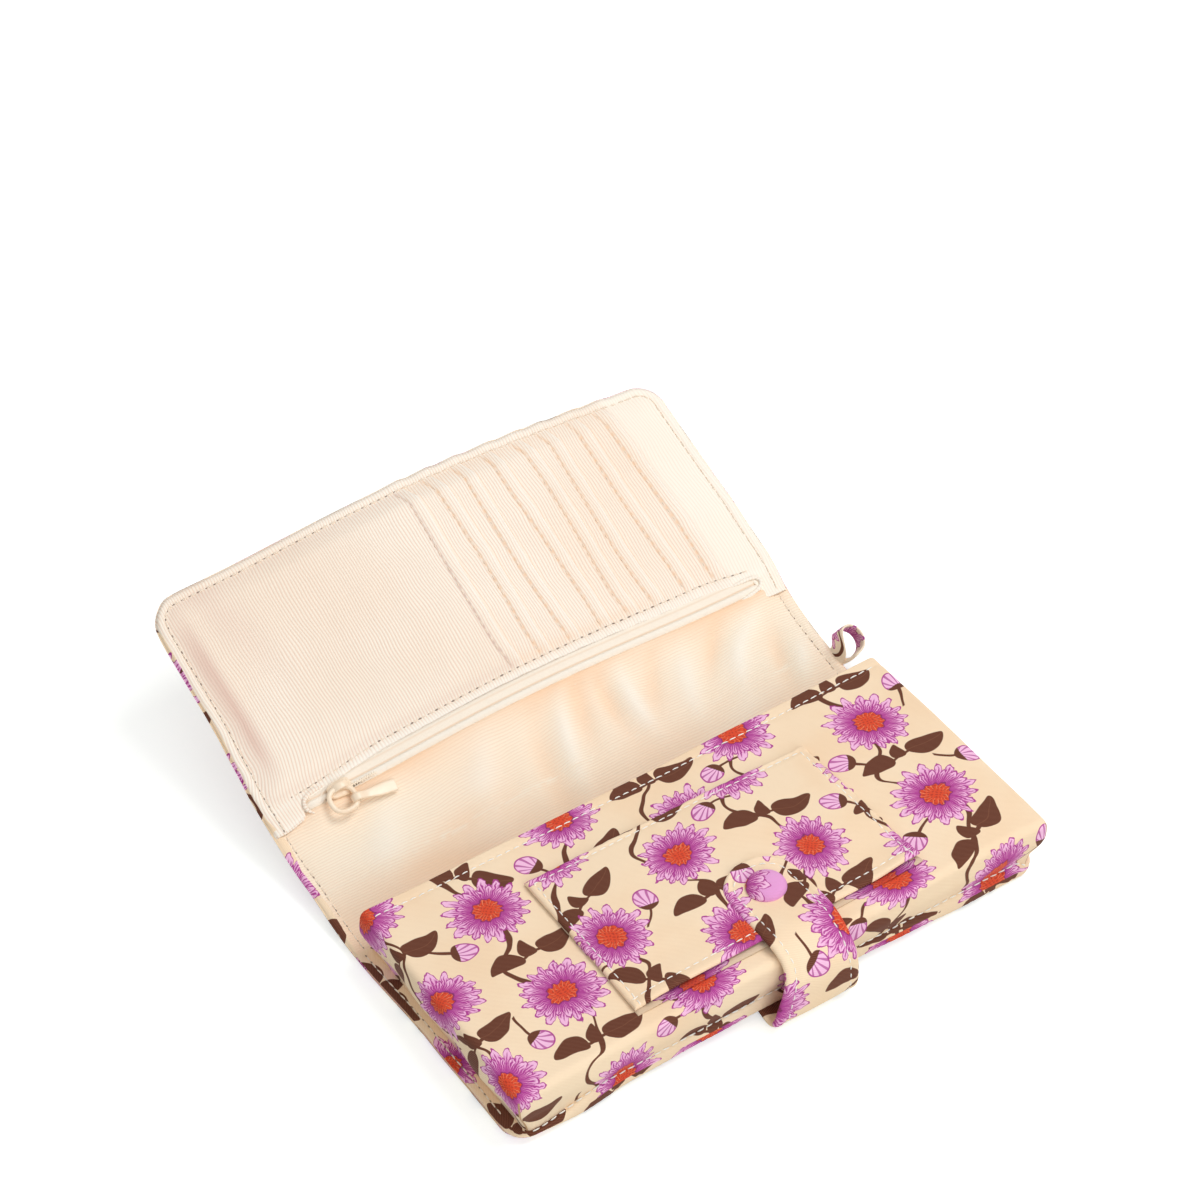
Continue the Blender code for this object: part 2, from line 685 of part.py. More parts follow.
def build_ring(ring):
    """The wire ring that hangs from the slider's arch on the side of the fold."""
    wire = RING_WIRE / 2
    corners = rounded(
        RING_X - RING_L / 2 + wire, RING_X + RING_L / 2 - wire, -RING_W + wire, 0.0,
        (RING_CORNER_R, RING_CORNER_R, wire, wire),
    )
    curve = traced("pull_ring", corners, "3D")
    curve.bevel_depth = wire * MM
    curve.bevel_resolution = 2
    place("pull_ring", curve, ring, PULLER)


def build_pull(pull):
    """The pull tab: an eye round the ring's leg and a flat strip that droops towards the lining."""
    neck = math.degrees(math.asin(PULL_T / 2 / PULL_EYE_R))
    section = arc(0, 0, PULL_EYE_R, neck, 360 - neck)
    section += [(PULL_L, -PULL_T / 2), (PULL_L, PULL_T / 2)]
    near = -PULL_Y - PULL_W / 2
    obj = meshed(slab("pull_tab", section, near, near + PULL_W, pull, PULLER, ALONG_Y))
    bore_r = RING_WIRE / 2 + PULL_EYE_CLEAR
    bore = bmesh.new()
    bmesh.ops.create_cone(
        bore, cap_ends=True, segments=TURN_STEPS, radius1=bore_r, radius2=bore_r, depth=PULL_W * 2
    )
    bmesh.ops.rotate(bore, verts=bore.verts, matrix=Matrix.Rotation(math.radians(90), 3, "X"))
    bmesh.ops.translate(bore, vec=(0, PULL_Y, 0), verts=bore.verts)
    combine(obj, bore, pull, "DIFFERENCE")


def build_tab(base, riser, end):
    """The closure tab: a root in the near seam, a riser and an end that lies on the pocket."""
    root = rounded(TAB_LEFT, TAB_RIGHT, REST_GAP - TAB_STAND_OFF, SEAM_W)
    slab("tab_root", root, TAB_ROOT_TOP - TAB_ROOT_T, TAB_ROOT_TOP, base, PRINT)
    height = TAB_REST_Z - TAB_ROOT_TOP
    layers = (("facing", TAB_FACING_T), ("padding", TAB_PADDING_T), ("cover", TAB_COVER_T))
    low = 0.0
    for layer, thick in layers:
        finish = FILLING if layer == "padding" else PRINT
        upright = block(
            (TAB_LEFT, -low - thick, REST_GAP), (TAB_RIGHT, -low, height - REST_GAP)
        )
        piece(f"tab_riser_{layer}", upright, riser, finish)
        outline = rounded(
            TAB_LEFT, TAB_RIGHT, REST_GAP, TAB_TIP + TAB_STAND_OFF, (0, 0, TAB_TIP_R, TAB_TIP_R)
        )
        flat = meshed(slab(f"tab_end_{layer}", outline, low, low + thick, end, finish))
        radius = SHANK_R + SHANK_CLEAR if layer == "cover" else SOCKET_R + REST_GAP
        hole = drum(TAB_X, SNAP_Y + TAB_STAND_OFF, low - CUT_OVERRUN, low + thick + CUT_OVERRUN, radius)
        combine(flat, hole, end, "DIFFERENCE")
        low += thick + LAYER_GAP
    build_snap(end)


def build_snap(end):
    """The covered cap on top of the tab and the socket set flush in its facing."""
    centre = (TAB_X, SNAP_Y + TAB_STAND_OFF, 0)
    socket_h = TAB_FACING_T + TAB_PADDING_T
    socket = [
        (0, socket_h), (SOCKET_R, socket_h), (SOCKET_R, 0),
        (SOCKET_BORE_R, 0), (SOCKET_BORE_R, SOCKET_BORE_DEPTH), (0, SOCKET_BORE_DEPTH),
    ]
    turned("snap_socket", socket, centre, end, METAL)
    seat = TAB_T + LAYER_GAP
    rim = seat + CAP_H * CAP_RIM_SHARE
    cap = []
    for i in range(CAP_STEPS + 1):
        turn = math.radians(90 * i / CAP_STEPS)
        cap.append((CAP_R * math.sin(turn) ** 0.5, rim + (seat + CAP_H - rim) * math.cos(turn)))
    foot = socket_h + LAYER_GAP
    cap += [(CAP_R * CAP_FOOT_SHARE, seat), (SHANK_R, seat), (SHANK_R, foot), (0, foot)]
    turned("snap_cap", cap, centre, end, LILAC)


for old in list(bpy.data.objects):
    bpy.data.objects.remove(old, do_unlink=True)
PARTS = collection("phone_wristlet")
CUTTERS = collection("cutters")
CUTTERS.hide_render = True

base_frame = frame_at("base_frame", None, (0, -BASE_DEPTH / 2, 0))
top_frame = frame_at("top_frame", base_frame, (0, POCKET_FRONT, POCKET_TOP_NEAR), TOP_SLOPE)
spine_axis = frame_at("spine_axis", base_frame, (0, BASE_DEPTH, BASE_T), math.radians(SPINE_TILT))
flap_axis = frame_at("flap_axis", spine_axis, (0, SPINE_DEPTH, 0), math.radians(FLAP_TILT))
tab_low_axis = frame_at("tab_low_axis", base_frame, (0, -TAB_STAND_OFF, TAB_ROOT_TOP))
tab_high_axis = frame_at("tab_high_axis", tab_low_axis, (0, 0, TAB_REST_Z - TAB_ROOT_TOP))
slider_frame = frame_at("slider_frame", flap_axis, (SLIDER_X, ZIP_LINE, 0))
ring_axis = frame_at("ring_axis", slider_frame, (0, 0, RING_Z))
pull_axis = frame_at("pull_axis", ring_axis, (RING_X + RING_L / 2 - RING_WIRE / 2, 0, 0))

build_base(base_frame)
build_seam(base_frame)
build_phone_pocket(base_frame, top_frame)
build_patch(top_frame)
build_spine(spine_axis)
build_flap(flap_axis)
build_cards(flap_axis)
build_zip(flap_axis)
build_slider(slider_frame)
build_ring(ring_axis)
build_pull(pull_axis)
build_tab(base_frame, tab_low_axis, tab_high_axis)
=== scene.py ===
"""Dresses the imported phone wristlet: printed and ribbed cloth, stitching, zip and snap.

Shapes are worked out in millimetres. Along the wallet runs x. Across it runs q, the length of the
cloth from the near edge over both folds to the flap's far edge, and n is the height over the lining.
"""

import json
import math

import bmesh
import bpy
import numpy as np
from mathutils import Matrix, Vector


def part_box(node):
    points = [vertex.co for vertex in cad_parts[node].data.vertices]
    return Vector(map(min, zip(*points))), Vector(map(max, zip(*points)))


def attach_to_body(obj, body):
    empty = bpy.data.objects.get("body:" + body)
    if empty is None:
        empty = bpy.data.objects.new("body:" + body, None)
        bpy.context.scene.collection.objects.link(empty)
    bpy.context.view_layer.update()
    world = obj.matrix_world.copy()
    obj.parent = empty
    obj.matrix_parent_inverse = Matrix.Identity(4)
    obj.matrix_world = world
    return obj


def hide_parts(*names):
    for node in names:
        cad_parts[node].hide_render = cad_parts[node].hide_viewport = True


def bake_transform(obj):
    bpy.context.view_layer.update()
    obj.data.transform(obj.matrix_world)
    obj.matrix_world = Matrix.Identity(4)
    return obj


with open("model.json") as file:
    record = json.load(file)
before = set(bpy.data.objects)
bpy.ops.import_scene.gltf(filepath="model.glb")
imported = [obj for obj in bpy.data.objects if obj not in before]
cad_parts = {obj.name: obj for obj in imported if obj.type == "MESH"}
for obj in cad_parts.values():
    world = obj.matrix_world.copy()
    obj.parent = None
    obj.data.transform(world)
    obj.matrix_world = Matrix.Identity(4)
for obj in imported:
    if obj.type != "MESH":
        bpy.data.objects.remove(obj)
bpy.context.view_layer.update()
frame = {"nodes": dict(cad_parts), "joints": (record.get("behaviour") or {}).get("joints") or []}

SIDES = ((-1, "left"), (1, "right"))
MM = 0.001
MM_IN_M = 1000.0


def node_box(name):
    """A node's lowest and highest corners in millimetres."""
    return [np.array(corner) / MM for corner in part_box(name)]


def joint_place(name):
    found = next(joint for joint in frame["joints"] if joint["name"] == name)
    return np.array(found["pos_m"]) / MM


# Sizes taken from the frame
BASE_LOW, BASE_HIGH = node_box("cover_base")
HALF = BASE_HIGH[0]
NEAR_Y = BASE_LOW[1]
FOLD_1 = joint_place("spine_fold")
FOLD_2 = joint_place("flap_fold")
LINING_Z = FOLD_1[2]
FOLD_1_Q = FOLD_1[1] - NEAR_Y
FOLD_2_Q = FOLD_1_Q + math.hypot(*(FOLD_2 - FOLD_1)[1:])
TILT = math.atan2(FOLD_2[2] - FOLD_1[2], FOLD_2[1] - FOLD_1[1])
MOUTH_Y = node_box("pocket_shell")[1][1]
CAP_LOW, CAP_HIGH = node_box("snap_cap")
TAB_LOW, TAB_HIGH = node_box("tab_end_cover")

# The cloth shell
FOLD_SPREAD = 8.0
SPLIT_Q = (FOLD_1_Q + FOLD_2_Q) / 2
FAR_Q = 208.0
FAR_BOW = 1.4
NEAR_R = 5.5
FAR_R = 8.0
BASE_STACK = 2.6
FLAP_STACK = 1.8
EDGE_ROLL = 1.5
COVER_ROLL = 2.4
EDGE_STITCH = 3.5
LINING_INSET = 0.35
MEET = 0.30

# Stitching
PITCH = 2.85
STITCH_L = 2.1
STITCH_R = 0.2
UNEVEN = 0.08
UP = np.array([0.0, 0.0, 1.0])

# Card panel and zip
PANEL_Q = 135.6
ZIP_STITCH_Q = 138.4
COIL_Q = 130.8
BAND_Q = 129.3
ZIP_EDGE_Q = 128.0
SLOT_EDGES = (72.7, 63.2, 52.3, 43.2, 33.1, 22.0, 11.7, 1.5)
BACKING_N = 1.25
SLOT_RISE = 0.27
SLOT_DEPTH = 85.6
SLOT_LAP = 8.5
SLOT_PHASES = (0.3, 1.9, 3.1, 4.6, 0.9, 2.4, 5.2, 3.8)
NEXT_STEPS = np.array((-0.3, 0.0, 0.2, 0.45, 0.8, 1.3))[None]
LOW_STEPS = (0.0, 0.12, 0.35, 0.8, 1.4, 2.0, 2.5, 3.0, 3.6)
LAST_SLOT = len(SLOT_EDGES) - 1
HEM_RISE = 0.36
HEM_W = 4.0
ZIP_LEFT = -77.5
ZIP_RIGHT = 81.0
WINDOW_LEFT = -76.3
WINDOW_RIGHT = 80.8

# Phone pocket
TOP_HALF = 89.0
TOP_NEAR = -47.0
WALL_FOOT_Y = -44.9
FOOT_HALF = 85.8
SIDE_FOOT = 3.0
RIDGE_Z = 7.6
TOP_NEAR_Z = 21.9
TOP_MOUTH_Z = 20.7
POCKET_R = 2.3
SHELL_T = 1.4
MOUTH_STITCH_Y = MOUTH_Y - 3.2
DEEP = 9  # rows of the grid between the mouth and its lining

# Slip pocket
PATCH_LEFT = -46.0
PATCH_RIGHT = 51.5
PATCH_NEAR = -39.6
PATCH_FAR = 18.2

# Closure tab
TAB_X = (TAB_LOW[0] + TAB_HIGH[0]) / 2
TAB_HALF = (TAB_HIGH[0] - TAB_LOW[0]) / 2
TAB_T = 2.0
TAB_TIP_R = 11.0
TAB_STITCH = 3.0


def smooth(t):
    t = np.clip(t, 0.0, 1.0)
    return t * t * (3 - 2 * t)


def ramp(low, high, t):
    return smooth((np.asarray(t, float) - low) / (high - low))


def bell(t):
    """A bump that is 1 high at t = 0 and fades out on both sides."""
    return np.exp(-(t**2))


def unit(vectors):
    return vectors / np.maximum(np.linalg.norm(vectors, axis=-1, keepdims=True), 1e-9)


def between(at, known, rows):
    """Interpolates every column of the rows, which are known at some lengths."""
    return np.stack([np.interp(at, known, column) for column in np.transpose(rows)], -1)


# Cloth coordinates
TABLE_Q = np.arange(-20.0, 240.0, 0.25)


def tilt_at(q):
    return TILT * (
        ramp(FOLD_1_Q - FOLD_SPREAD, FOLD_1_Q + FOLD_SPREAD, q)
        + ramp(FOLD_2_Q - FOLD_SPREAD, FOLD_2_Q + FOLD_SPREAD, q)
    )


def summed(steps):
    """A running integral over TABLE_Q that is zero at the near edge."""
    total = np.concatenate([[0.0], np.cumsum((steps[1:] + steps[:-1]) / 2) * 0.25])
    return total - np.interp(0.0, TABLE_Q, total)


TABLE_Y = NEAR_Y + summed(np.cos(tilt_at(TABLE_Q)))
TABLE_Z = LINING_Z + summed(np.sin(tilt_at(TABLE_Q)))


def lift(x, q):
    """How far the wallet arches off the table in its middle."""
    bell = np.clip(1 - (x / 74.0) ** 2, 0, 1) ** 2
    return np.interp(q, (0, 60, 90, 130, 208), (2.3, 1.2, 1.5, 3.2, 2.6)) * bell


def bowed(x, q):
    """The cloth's far edge runs out further in the middle."""
    return q + FAR_BOW * (1 - (x / HALF) ** 2) * ramp(165, FAR_Q, q)


def widened(x, q):
    """The wallet's sides stray outwards from straight lines."""
    left = np.interp(q, *np.transpose((
        (0, 1.1), (10, 1.2), (22, 1.1), (35, 1.3), (45, 1.1), (55, 1.3), (62, 1.7), (72, 2.1), (82, 2.2),
        (98, 2.0), (106, 1.8), (114, 2.0), (127, 2.1), (140, 2.1), (148, 1.5), (155, 1.2), (162, 0.7),
        (170, 0.5), (195, 0.6), (208, 0.5),
    )))
    right = np.interp(q, *np.transpose((
        (0, 0.3), (110, 0.5), (122, 0.8), (128, 1.1), (134, 1.9), (139, 2.3), (152, 2.1), (160, 2.3),
        (168, 2.05), (178, 1.9), (200, 1.7), (208, 1.3),
    )))
    return x - left * ramp(-50, -89, x) + right * ramp(50, 89, x)


def slot_bumps(x):
    """The far edge stands out a little up to each card slot's folded edge."""
    return sum(ramp(edge - 10, edge - 1.5, x) * ramp(edge + 0.6, edge - 0.8, x) for edge in SLOT_EDGES)


def spread(x, q, n):
    """Cloth coordinates to places in millimetres."""
    x, q, n = np.broadcast_arrays(*(np.asarray(v, float) for v in (x, q, n)))
    corner = 1.7 * np.exp(-((x + 89) ** 2 + (q - FAR_Q) ** 2) / 60.0)
    along = bowed(x, q) + 0.45 * slot_bumps(x) * ramp(202, 208, q) - 0.7 * corner
    tilt = tilt_at(along)
    y = np.interp(along, TABLE_Q, TABLE_Y) - n * np.sin(tilt)
    z = np.interp(along, TABLE_Q, TABLE_Z) + n * np.cos(tilt) + lift(x, q)
    droop = 1.6 * ramp(150, 208, q) * ramp(30, 89, x) ** 2
    rise = 0.8 * ramp(160, 208, q) * ramp(-40, -89, x) ** 2
    return np.stack([widened(x, q) + 0.8 * corner, y, z - droop + rise], -1)


def half_width(q):
    """Half of the shell's width at q, with its corners rounded."""
    near = np.clip(NEAR_R - q, 0, NEAR_R)
    far = np.clip(q - (FAR_Q - FAR_R), 0, FAR_R)
    return (
        HALF
        - (NEAR_R - np.sqrt(NEAR_R**2 - near**2))
        - (FAR_R - np.sqrt(FAR_R**2 - far**2))
    )


def edge_distance(x, q):
    """How far inside the shell's rounded outline a point lies."""
    corner_r = np.where(q > FAR_Q / 2, FAR_R, NEAR_R)
    across = np.abs(x) - (HALF - corner_r)
    along = np.abs(q - FAR_Q / 2) - (FAR_Q / 2 - corner_r)
    outside = np.hypot(np.maximum(across, 0), np.maximum(along, 0))
    return corner_r - outside - np.minimum(np.maximum(across, along), 0)


def graded(start, end, step, fine_start=(), fine_end=()):
    """Even steps between two values, with finer ones next to either end."""
    low = start + (fine_start[-1] if fine_start else 0)
    high = end - (fine_end[-1] if fine_end else 0)
    count = max(2, round((high - low) / step) + 1)
    middle = np.linspace(low, high, count)
    return np.concatenate(
        [[start + v for v in fine_start[:-1]], middle, [end - v for v in reversed(fine_end[:-1])]]
    )


FINE = (0.0, 0.12, 0.35, 0.7, 1.15, 1.7, 2.2, 2.6, 3.0, 3.4, 3.8, 4.6, 6.2, 8.4)


# Meshes

class Cloth:
    """Collects grids of faces, each with its own cloth coordinates, into one piece."""

    def __init__(self):
        self.points = []
        self.uvs = []
        self.quads = []
        self.painted_shadings = []
        self.count = 0

    def grid(self, places, uv, flip=False, keep=None, painted_shading=0.0):
        rows, columns = places.shape[:2]
        index = self.count + np.arange(rows * columns).reshape(rows, columns)
        quads = np.stack([index[:-1, :-1], index[:-1, 1:], index[1:, 1:], index[1:, :-1]], -1)
        if flip:
            quads = quads[..., ::-1]
        if keep is not None:
            quads = quads[keep]
        self.points.append(places.reshape(-1, 3))
        self.uvs.append(np.broadcast_to(uv, places.shape[:2] + (2,)).reshape(-1, 2))
        self.quads.append(quads.reshape(-1, 4))
        self.painted_shadings.append(np.broadcast_to(painted_shading, (rows, columns)).ravel())
        self.count += rows * columns
        return self

    def solid(self, top, under, uv, painted_shading=0.0):
        """Two sheets of the same grid, joined all round."""
        self.grid(top, uv, painted_shading=painted_shading)
        self.grid(under, uv, flip=True)
        uv = np.broadcast_to(uv, top.shape[:2] + (2,))
        rims = (
            (top[0], under[0], uv[0], True), (top[-1], under[-1], uv[-1], False),
            (top[:, 0], under[:, 0], uv[:, 0], False), (top[:, -1], under[:, -1], uv[:, -1], True),
        )
        for high, low, rim_uv, flip in rims:
            self.grid(np.stack([high, low]), np.stack([rim_uv, rim_uv]), flip=flip)
        return self

    def hem(self, top, under, uv, keep):
        """Joins a flipped upper grid to an under grid wherever their kept cells end."""
        kept = np.pad(keep, 1)
        row, column = np.nonzero(keep)
        for start, stop, outside in (
            ((0, 0), (0, 1), (-1, 0)), ((0, 1), (1, 1), (0, 1)),
            ((1, 1), (1, 0), (1, 0)), ((1, 0), (0, 0), (0, -1)),
        ):
            ends = ~kept[row + 1 + outside[0], column + 1 + outside[1]]
            first = (row[ends] + start[0], column[ends] + start[1])
            last = (row[ends] + stop[0], column[ends] + stop[1])
            quads = np.arange(4 * ends.sum()).reshape(-1, 4) + self.count
            corners = np.stack([top[first], top[last], under[last], under[first]], 1)
            self.points.append(corners.reshape(-1, 3))
            self.uvs.append(np.stack([uv[first], uv[last], uv[last], uv[first]], 1).reshape(-1, 2))
            self.quads.append(quads)
            self.painted_shadings.append(np.zeros(quads.size))
            self.count += quads.size
        return self

    def build(self, name, material, angle=50, weld=0.002):
        """Makes the piece, with its close points welded and its sharp corners kept sharp."""
        points = np.concatenate(self.points) * MM
        quads = np.concatenate(self.quads)
        uvs = np.concatenate(self.uvs)[quads.ravel()] * MM
        mesh = bpy.data.meshes.new(name)
        mesh.from_pydata(points.tolist(), [], quads.tolist())
        layer = mesh.uv_layers.new(name="cloth")
        layer.data.foreach_set("uv", uvs.ravel().astype(np.float32))
        # each point's painted shading: painted shade where over 0, painted highlight where under 0
        painted_shadings = mesh.attributes.new("painted_shading", "FLOAT", "POINT")
        painted_shadings.data.foreach_set("value", np.concatenate(self.painted_shadings).astype(np.float32))
        bm = bmesh.new()
        bm.from_mesh(mesh)
        bmesh.ops.remove_doubles(bm, verts=bm.verts, dist=weld * MM)
        bmesh.ops.dissolve_degenerate(bm, edges=bm.edges, dist=weld * MM)
        loose = [v for v in bm.verts if not v.link_faces]
        bmesh.ops.delete(bm, geom=loose, context="VERTS")
        bm.to_mesh(mesh)
        bm.free()
        mesh.shade_smooth()
        mesh.set_sharp_from_angle(angle=math.radians(angle))
        obj = bpy.data.objects.new(name, mesh)
        mesh.materials.append(material)
        bpy.context.scene.collection.objects.link(obj)
        return obj


def uv_of(x, q):
    x, q = np.broadcast_arrays(x, q)
    return np.stack([x, q], -1)


def swept(path, across, sections, uv_along):
    """A tube: at each path point, section offsets along two directions."""
    rings = np.array([
        centre + section[:, :1] * side + section[:, 1:] * up
        for centre, (side, up), section in zip(path, across, sections)
    ])
    rings = np.concatenate([rings, rings[:, :1]], 1)
    steps = np.linalg.norm(np.diff(rings, axis=1), axis=2)
    girth = np.concatenate([np.zeros((len(rings), 1)), np.cumsum(steps, 1)], 1)
    uv = np.stack([np.broadcast_to(np.asarray(uv_along)[:, None], girth.shape), girth], -1)
    cloth = Cloth().grid(rings, uv)
    for end, flip in ((0, True), (-1, False)):
        middle = np.broadcast_to(rings[end].mean(0), rings[end].shape)
        cloth.grid(np.stack([rings[end], middle]), np.stack([uv[end], uv[end]]), flip=flip)
    return cloth


def tube(centres, side, up, wide, high, count=7):
    """Rings of points round a line, wide along its side directions and high along up."""
    turn = np.linspace(0, 2 * np.pi, count)[None, :, None]
    return centres[:, None] + side[:, None] * (np.cos(turn) * wide) + up[:, None] * (np.sin(turn) * high)


def hoop(centres, axis, section, uv):
    """A ring along a closed line: a closed section's offsets along the axis and outwards."""
    tangent = unit(np.roll(centres, -1, 0) - np.roll(centres, 1, 0))
    outward = np.cross(tangent, axis)
    rings = centres[:, None] + axis * section[None, :, :1] + outward[:, None] * section[None, :, 1:]
    return Cloth().grid(np.concatenate([rings, rings[:1]]), uv)


def oval(half_w, half_h, count=16, power=0.7):
    """A rounded section's points, going round anticlockwise."""
    turn = np.arange(count) * 2 * np.pi / count
    return np.stack([half * np.sign(v) * np.abs(v) ** power
                     for half, v in ((half_w, np.cos(turn)), (half_h, np.sin(turn)))], -1)


def along_path(points, step):
    """Resamples a polyline at even steps, with the tangents there."""
    points = np.asarray(points, float)
    lengths = np.concatenate([[0], np.cumsum(np.linalg.norm(np.diff(points, axis=0), axis=1))])
    at = np.linspace(0, lengths[-1], max(2, int(lengths[-1] / step) + 1))
    found = between(at, lengths, points)
    return found, unit(np.gradient(found, axis=0)), at


def curved(points, steps=10):
    """A smooth curve through the points."""
    points = np.asarray(points, float)
    padded = np.concatenate([[2 * points[0] - points[1]], points, [2 * points[-1] - points[-2]]])
    out = []
    t = np.linspace(0, 1, steps, endpoint=False)[:, None]
    for a, b, c, d in zip(padded[:-3], padded[1:-2], padded[2:-1], padded[3:]):
        out.append(0.5 * (2 * b + (c - a) * t + (2 * a - 5 * b + 4 * c - d) * t**2
                          + (3 * b - a - 3 * c + d) * t**3))
    out.append(points[-1:])
    return np.concatenate(out)


# Materials

def rgb(red, green, blue):
    """A screen colour from 0 to 255 as Blender's linear values."""
    shares = [v / 255 for v in (red, green, blue)]
    linear = [v / 12.92 if v <= 0.04045 else ((v + 0.055) / 1.055) ** 2.4 for v in shares]
    return (*linear, 1.0)


class Num:
    """A number in a shader graph, which arithmetic turns into math nodes."""

    def __init__(self, graph, source):
        self.graph = graph
        self.source = source

    def apply(self, operation, *others):
        return self.graph.math(operation, self, *others)

    def __add__(self, other):
        return self.apply("ADD", other)

    def __sub__(self, other):
        return self.apply("SUBTRACT", other)

    def __mul__(self, other):
        return self.apply("MULTIPLY", other)

    def __truediv__(self, other):
        return self.apply("DIVIDE", other)

    def __neg__(self):
        return self.apply("MULTIPLY", -1.0)

    def __rsub__(self, other):
        return self.graph.math("SUBTRACT", other, self)

    __radd__ = __add__
    __rmul__ = __mul__

    def abs(self):
        return self.apply("ABSOLUTE")

    def floor(self):
        return self.apply("FLOOR")

    def sine(self):
        return self.apply("SINE")

    def max(self, other):
        return self.apply("MAXIMUM", other)

    def threads(self, pitch):
        """Even threads at this pitch, from 0 to 1."""
        return (self * (2 * math.pi / pitch)).sine() * 0.5 + 0.5

    def under(self, limit, soft):
        """1 where the number is under the limit, fading over soft."""
        return self.graph.fade(self, limit + soft, limit - soft)


class Graph:
    """Writes a material's nodes."""

    def __init__(self, name, roughness, sheen=0.0, specular=0.35, metallic=0.0):
        self.material = bpy.data.materials.new(name)
        self.material.use_nodes = True
        self.tree = self.material.node_tree
        self.shader = self.tree.nodes["Principled BSDF"]
        self.shader.inputs["Roughness"].default_value = roughness
        self.shader.inputs["Specular IOR Level"].default_value = specular
        self.shader.inputs["Metallic"].default_value = metallic
        self.shader.inputs["Sheen Weight"].default_value = sheen
        self.shader.inputs["Sheen Roughness"].default_value = 0.5

    def node(self, kind, **settings):
        made = self.tree.nodes.new(kind)
        for key, value in settings.items():
            setattr(made, key, value)
        return made

    def put(self, socket, value):
        if isinstance(value, Num):
            value = value.source
        if isinstance(value, bpy.types.NodeSocket):
            self.tree.links.new(value, socket)
        else:
            socket.default_value = value

    def math(self, operation, *values):
        made = self.node("ShaderNodeMath", operation=operation)
        for socket, value in zip(made.inputs, values):
            self.put(socket, value)
        return Num(self, made.outputs[0])

    def fade(self, value, low, high):
        """0 at low to 1 at high, smoothly."""
        made = self.node("ShaderNodeMapRange", interpolation_type="SMOOTHSTEP")
        self.put(made.inputs["Value"], value)
        self.put(made.inputs["From Min"], low)
        self.put(made.inputs["From Max"], high)
        return Num(self, made.outputs["Result"])

    def cloth(self):
        """The cloth's own coordinates in millimetres."""
        made = self.node("ShaderNodeUVMap", uv_map="cloth")
        split = self.node("ShaderNodeSeparateXYZ")
        self.tree.links.new(made.outputs["UV"], split.inputs["Vector"])
        return [Num(self, split.outputs[axis]) * MM_IN_M for axis in "XY"]

    def vector(self, x, y, z=0.0):
        made = self.node("ShaderNodeCombineXYZ")
        for socket, value in zip(made.inputs, (x, y, z)):
            self.put(socket, value)
        return made.outputs["Vector"]

    def place(self):
        return self.node("ShaderNodeTexCoord").outputs["Object"]

    def noise(self, vector, scale, detail=2.0, roughness=0.5):
        made = self.node("ShaderNodeTexNoise")
        self.put(made.inputs["Vector"], vector)
        made.inputs["Scale"].default_value = scale
        made.inputs["Detail"].default_value = detail
        made.inputs["Roughness"].default_value = roughness
        return Num(self, made.outputs["Fac"])

    def chance(self, x, y, seed):
        """Three even random numbers from 0 to 1 for each pair of whole numbers."""
        made = self.node("ShaderNodeTexWhiteNoise", noise_dimensions="3D")
        self.tree.links.new(self.vector(x, y, seed), made.inputs["Vector"])
        split = self.node("ShaderNodeSeparateColor")
        self.tree.links.new(made.outputs["Color"], split.inputs["Color"])
        return [Num(self, output) for output in split.outputs]

    def mix(self, share, first, second):
        made = self.node("ShaderNodeMix", data_type="RGBA")
        self.put(made.inputs[0], share)
        self.put(made.inputs[6], first)
        self.put(made.inputs[7], second)
        return made.outputs[2]

    def with_painted_shading(self, colour, painted_shade_colour):
        """Paints shade in the shade colour where the mesh's painted shading is over 0, and a painted
        highlight where it is under 0.
        """
        made = self.node("ShaderNodeAttribute", attribute_name="painted_shading")
        painted_shading = Num(self, made.outputs["Fac"])
        colour = self.mix(painted_shading, colour, painted_shade_colour)
        return self.mix(-painted_shading, colour, rgb(255, 252, 243))

    def paint(self, colour):
        self.put(self.shader.inputs["Base Color"], colour)

    def bump(self, height, distance, strength=1.0, below=None):
        made = self.node("ShaderNodeBump")
        made.inputs["Distance"].default_value = distance * MM
        made.inputs["Strength"].default_value = strength
        self.put(made.inputs["Height"], height)
        if below is not None:
            self.tree.links.new(below, made.inputs["Normal"])
        self.tree.links.new(made.outputs["Normal"], self.shader.inputs["Normal"])
        return made.outputs["Normal"]


GROUND = rgb(254, 231, 199)
GROUND_SHADE = rgb(249, 217, 180)
PURPLE = rgb(176, 54, 150)
DEEP_PURPLE = rgb(128, 26, 108)
LILAC = rgb(236, 148, 210)
PALE_LILAC = rgb(252, 200, 236)
ORANGE = rgb(224, 68, 34)
BRICK = rgb(178, 42, 28)
BROWN = rgb(94, 47, 31)
BROWN_LIGHT = rgb(132, 82, 58)

# The repeat of the print, in millimetres
COLUMN_W = 32.0
ROW_H = 37.0
BLOOM_R = 12.9
TURN = 6.283


def turned(graph, x, y, angle):
    """Coordinates turned back by an angle."""
    cos = graph.math("COSINE", angle)
    sin = graph.math("SINE", angle)
    return x * cos + y * sin, y * cos - x * sin


def cell(graph, u, v, shift_u, shift_v, seed, wander):
    """Half-drop cells: coordinates from the middle of the motif, and random numbers for it."""
    column = ((u + shift_u) / COLUMN_W).floor()
    odd = graph.math("ABSOLUTE", graph.math("MODULO", column, 2.0))
    lowered = v + shift_v + odd * (ROW_H / 2)
    row = (lowered / ROW_H).floor()
    first, second, third = graph.chance(column, row, seed)
    x = u + shift_u - (column + 0.5) * COLUMN_W - (first - 0.5) * wander
    y = lowered - (row + 0.5) * ROW_H - (second - 0.5) * wander
    return x, y, first, third


